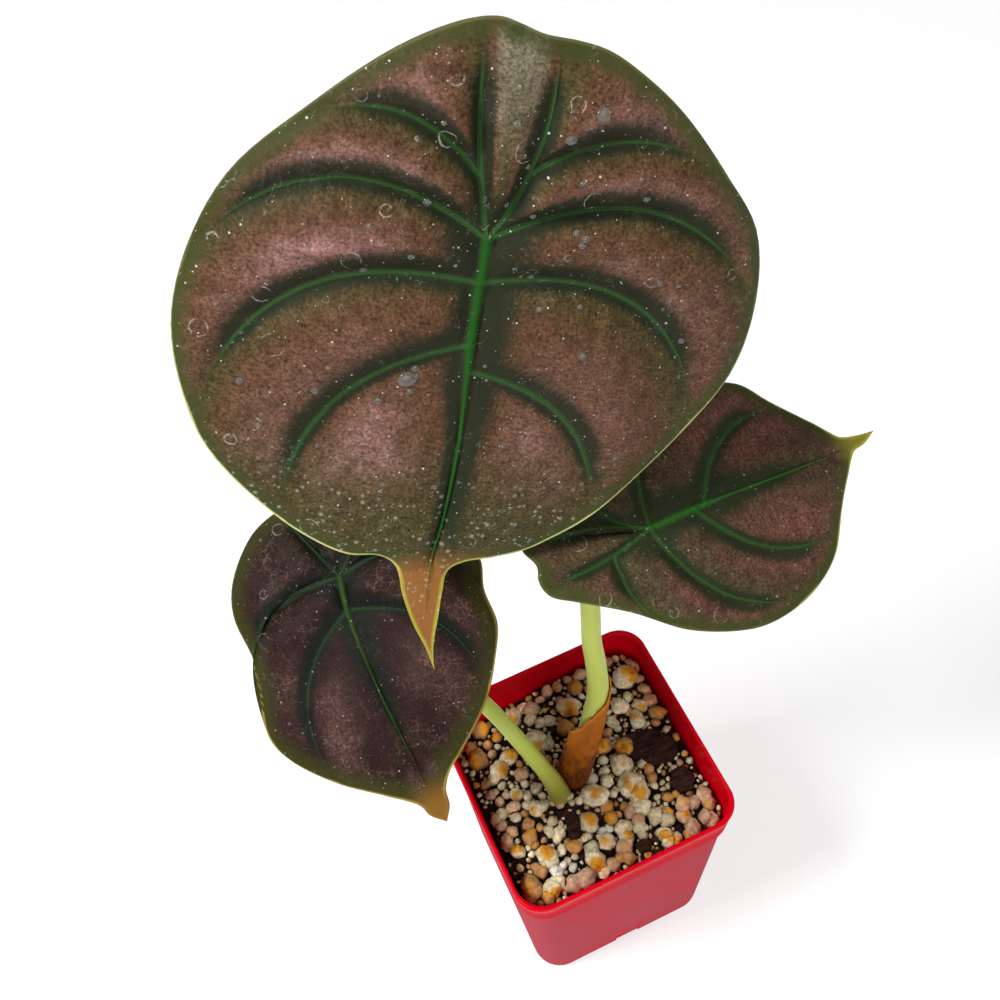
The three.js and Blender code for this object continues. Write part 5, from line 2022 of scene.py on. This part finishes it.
STALK_BIG = Petiole(
    node="petiole_big",
    path=(
        (-3, 0.8, 72), (-3.2, 0.3, 89), (1.7, 1, 113.6), (5.8, 2.5, 129.5), (8, 4, 139), (8.5, 6, 152),
        (8.3, 8, 164), (9.5, 11, 180), (10.8, 16, 203), (10.5, 21.5, 222), (8.8, 28, 248),
        (6.6, 32.5, 268), (4.8, 36, 284), (3.3, 38.6, 293.5), (1.8, 39, 298.3), (0.7, 37.6, 300.4),
        (-0.3, 35, 301.8),
    ),
    radii=((0, 3.1), (0.08, 3.2), (0.27, 3.3), (0.42, 2.8), (0.8, 2.5), (0.97, 2.3), (1, 1.9)),
    finish=FleshyStalk("fleshy_stalk_pale", foot_top=0.12),
)
STALK_RIGHT = Petiole(
    node="petiole_right",
    path=(
        (2.6, 4.6, 72), (2.8, 4.4, 90), (6.3, 6.6, 104.5), (10.6, 10, 116), (12.2, 12, 138),
        (11.9, 14.2, 152), (12.8, 16.5, 166), (15.2, 16.5, 180), (18.6, 13, 198), (20.9, 7, 212),
        (21.3, 3.2, 219.6),
    ),
    radii=((0, 2.3), (0.2, 2.3), (0.6, 2.1), (0.95, 2), (1, 1.7)),
    finish=FleshyStalk("fleshy_stalk_green", pale="#AFC258"),
)
STALK_LEFT = Petiole(
    node="petiole_left",
    path=(
        (-10.4, -6.4, 72), (-10.2, -5.4, 89), (-12.1, -3.5, 104), (-15, -1.5, 117), (-21.1, 4, 139),
        (-24.8, 9, 148.6), (-31, 16.5, 160), (-38, 25, 175), (-45, 33.5, 189), (-48.7, 37.8, 196.5),
        (-49.6, 37.2, 200.2),
    ),
    radii=((0, 3.4), (0.12, 3.8), (0.2, 3.3), (0.3, 2.6), (0.6, 2.35), (0.95, 2.2), (1, 1.8)),
    finish=FleshyStalk("fleshy_stalk_olive_foot", pale="#BCC85A", streak="#B2C051", foot_top=0.42),
)
BLADE_BIG = Blade(
    node="blade_big",
    hub=(-1, 31.5, 303.4),
    azimuth=-12,
    elevation=24,
    turn=-19.6,
    dome=(0.0018, 0.0005),
    puff=4.2,
    wave=0.5,
    midrib=((0, 0), (-0.3, 20), (-2, 45), (-1.8, 66), (-1, 76), (-2.3, 94), (-5, 104), (-7.5, 111.5)),
    plus=Half(
        side=1,
        margin=(
            (0, -40.2), (4.5, -41), (10.5, -39.5), (22, -33), (36.5, -20.5), (50, -6), (57, 10),
            (59.5, 26), (57, 40), (50.5, 54.5), (34, 70), (25, 75), (18, 77), (11, 77), (7, 79.5),
            (4, 88), (0, 97), (-4, 104), (-7.5, 111.5),
        ),
        ribs=(
            (0, 0, 0, 0.8), (1.4, 0, -0.04, 0), (4.25, 0, 0.23, 0), (6.1, 0, 0.24, 0), (8.5, 9, 0.23, 0),
            (10, 22.5, 0.2, 0), (12.6, 66, 0.03, 0.45), (14.6, 80, 0, 0.15), (16, 94, 0, 0),
            (18, 111.5, 0, 0),
        ),
        fork=(1, 2, 0.3, 0.2),
    ),
    minus=Half(
        side=-1,
        margin=(
            (0, -40.2), (-4, -39.3), (-11, -39), (-17.5, -38), (-25.5, -34.5), (-34.5, -29),
            (-47.5, -18), (-58, -7), (-62.5, 9), (-61.5, 26), (-53.5, 41.5), (-45.5, 52.5), (-37, 62.5),
            (-29.5, 69), (-23, 73.5), (-15.5, 75.5), (-9, 77), (-5.5, 80), (-5.2, 86), (-5.5, 94),
            (-6, 104), (-7.5, 111.5),
        ),
        ribs=(
            (0, 0, 0, 0.8), (1.45, 0, -0.09, 0), (6.0, 0, 0.18, 0), (7.9, 0, 0.21, 0),
            (9.75, 9, 0.23, 0), (12.1, 28.5, 0.19, 0), (15.4, 66, 0.03, 0.45), (17.8, 80, 0, 0.15),
            (19, 94, 0, 0), (21, 111.5, 0, 0),
        ),
        fork=(1, 2, 0.37, 0.16),
    ),
    skin=BIG_SKIN,
    slot="leaf_bronze",
    warmth=0.14,
    blush_and_sheen=(
        (31, 1, 15, 0.8), (-22, -20, 13, 0.45), (24, -20, 12, 0.3), (15, 46, 13, 0.3),
        (-13, 38, 10, 0.25),
    ),
    olive_tip=0.9,
    pale_panel=0.85,
)
BLADE_RIGHT = Blade(
    node="blade_right",
    hub=(21.7, 1.8, 222.8),
    azimuth=18,
    elevation=66,
    turn=74.7,
    dome=(0.0045, 0.0012),
    puff=2.4,
    wave=0.6,
    midrib=((0, 0), (0, 16), (1, 38), (1.6, 55), (1.6, 64), (0, 73)),
    plus=Half(
        side=1,
        margin=(
            (0, -30.7), (2, -31), (5, -29.6), (8.2, -25), (16, -13.7), (26, -1.2), (32.3, 14.4),
            (33.2, 23), (31, 34), (25, 44.5), (15.3, 52.4), (9.2, 57.4), (4.5, 61.7), (2.9, 64),
            (2.2, 68), (0, 73),
        ),
        ribs=(
            (0, 0, 0, 0.5), (1.2, 0, -0.05, 0), (4.85, 0, 0.25, 0), (7.9, 0, 0.18, 0),
            (9.5, 13, 0.17, 0), (11.4, 48, 0.03, 0.4), (12.8, 61, 0, 0.12), (15, 73, 0, 0),
        ),
        fork=(1, 2, 0.37, 0.16),
    ),
    minus=Half(
        side=-1,
        margin=(
            (0, -30.7), (-3, -29.8), (-8, -31), (-12, -27.5), (-15.5, -16), (-23, -3.5), (-29, 8),
            (-31, 20), (-29.5, 32), (-25.3, 42.7), (-18, 48.3), (-9, 55.5), (-4.5, 59), (-2, 61.7),
            (-0.8, 66), (0, 73),
        ),
        ribs=(
            (0, 0, 0, 0.5), (2, 0, -0.06, 0), (4.6, 0, 0.25, 0), (7.2, 0, 0.14, 0), (10.2, 16, 0.17, 0),
            (11.5, 48, 0.03, 0.4), (12.8, 61, 0, 0.12), (15, 73, 0, 0),
        ),
    ),
    skin=RIGHT_SKIN,
    slot="leaf_maroon",
    rib_width=1.1,
    vein_width=0.45,
    density=8.5,
    rings=66,
    tip_length=12,
)
BLADE_LEFT = Blade(
    node="blade_left",
    hub=(-50.5, 36, 203.1),
    azimuth=-36,
    elevation=60,
    turn=30.8,
    dome=(0.004, 0.001),
    puff=3.0,
    wave=1.4,
    midrib=((0, 0), (1.6, 9), (1.8, 30), (0.5, 50), (0, 60), (-1, 68.5)),
    plus=Half(
        side=1,
        margin=(
            (0, -20), (4, -22.5), (11, -22.8), (19, -20.5), (28, -11.6), (32, -2), (32, 9), (32.5, 18),
            (35.5, 30), (32.6, 38.5), (23, 49), (11.5, 56.6), (6.7, 59.6), (3.7, 62.5), (2.5, 65.5),
            (-1, 68.5),
        ),
        ribs=(
            (0, 0, 0, 0.4), (1.8, 0, 0, 0), (8.1, 0, 0.3, 0), (10, 9, 0.2, 0), (11.2, 42, 0.04, 0.35),
            (12.6, 57, 0, 0.1), (15, 68.5, 0, 0),
        ),
    ),
    minus=Half(
        side=-1,
        margin=(
            (0, -20), (-4, -22.5), (-11, -23), (-20, -19.5), (-29, -10), (-34.5, 2), (-35, 10),
            (-33, 17), (-33, 27), (-28.7, 35.4), (-22, 44.5), (-11, 54), (-7, 57), (-4, 61), (-3.2, 65),
            (-1, 68.5),
        ),
        ribs=(
            (0, 0, 0, 0.4), (3, 0, 0, 0), (7.9, 0, 0.33, 0), (9.6, 9, 0.2, 0), (11, 42, 0.04, 0.35),
            (12.4, 57, 0, 0.1), (15, 68.5, 0, 0),
        ),
    ),
    skin=LEFT_SKIN,
    slot="leaf_dark",
    rib_width=0.9,
    vein_width=0.4,
    density=8.5,
    rings=66,
    tip_length=9,
    pucker=1.3,
    pucker_mm=10.0,
    warmth=0.2,
    blush_and_sheen=((4, 42, 22, 0.75),),
)
DROPS_SEEN = ((-17.5, -27, 1.5), (-12, -22, 1.2), (11, 32, 2.2), (-19, -4, 0.9), (13, -6, 0.9))


@dataclass
class Plant:
    """The potted plant. The first of its stalks and the first of its blades are the big ones."""

    pot: Pot
    bed: Bed
    bark: tuple[BarkChip, ...]
    stalks: tuple[Petiole, ...]
    blades: tuple[Blade, ...]
    drops_seen: tuple[Point, ...]

    def build(self) -> None:
        """Build the pieces in order, from the pot up."""
        self.pot.build()
        PottingMix(self.pot, self.bed).build()
        PumiceTop(self.pot, self.bed, self.bark).build()
        bark = FirBark().material()
        for chip in self.bark:
            chip.build(bark)
        for stalk in self.stalks:
            stalk.build()
        Sheath(self.stalks[0]).build()
        for blade in self.blades:
            blade.build()
        Droplets(self.blades[0], self.drops_seen).build()


def main() -> None:
    """Build the studio and the plant, then note the sizes."""
    Studio().build()
    stalks = (STALK_BIG, STALK_RIGHT, STALK_LEFT)
    blades = (BLADE_BIG, BLADE_RIGHT, BLADE_LEFT)
    Plant(POT, BED, BARK_CHIPS, stalks, blades, DROPS_SEEN).build()


if __name__ == "__main__":
    main()
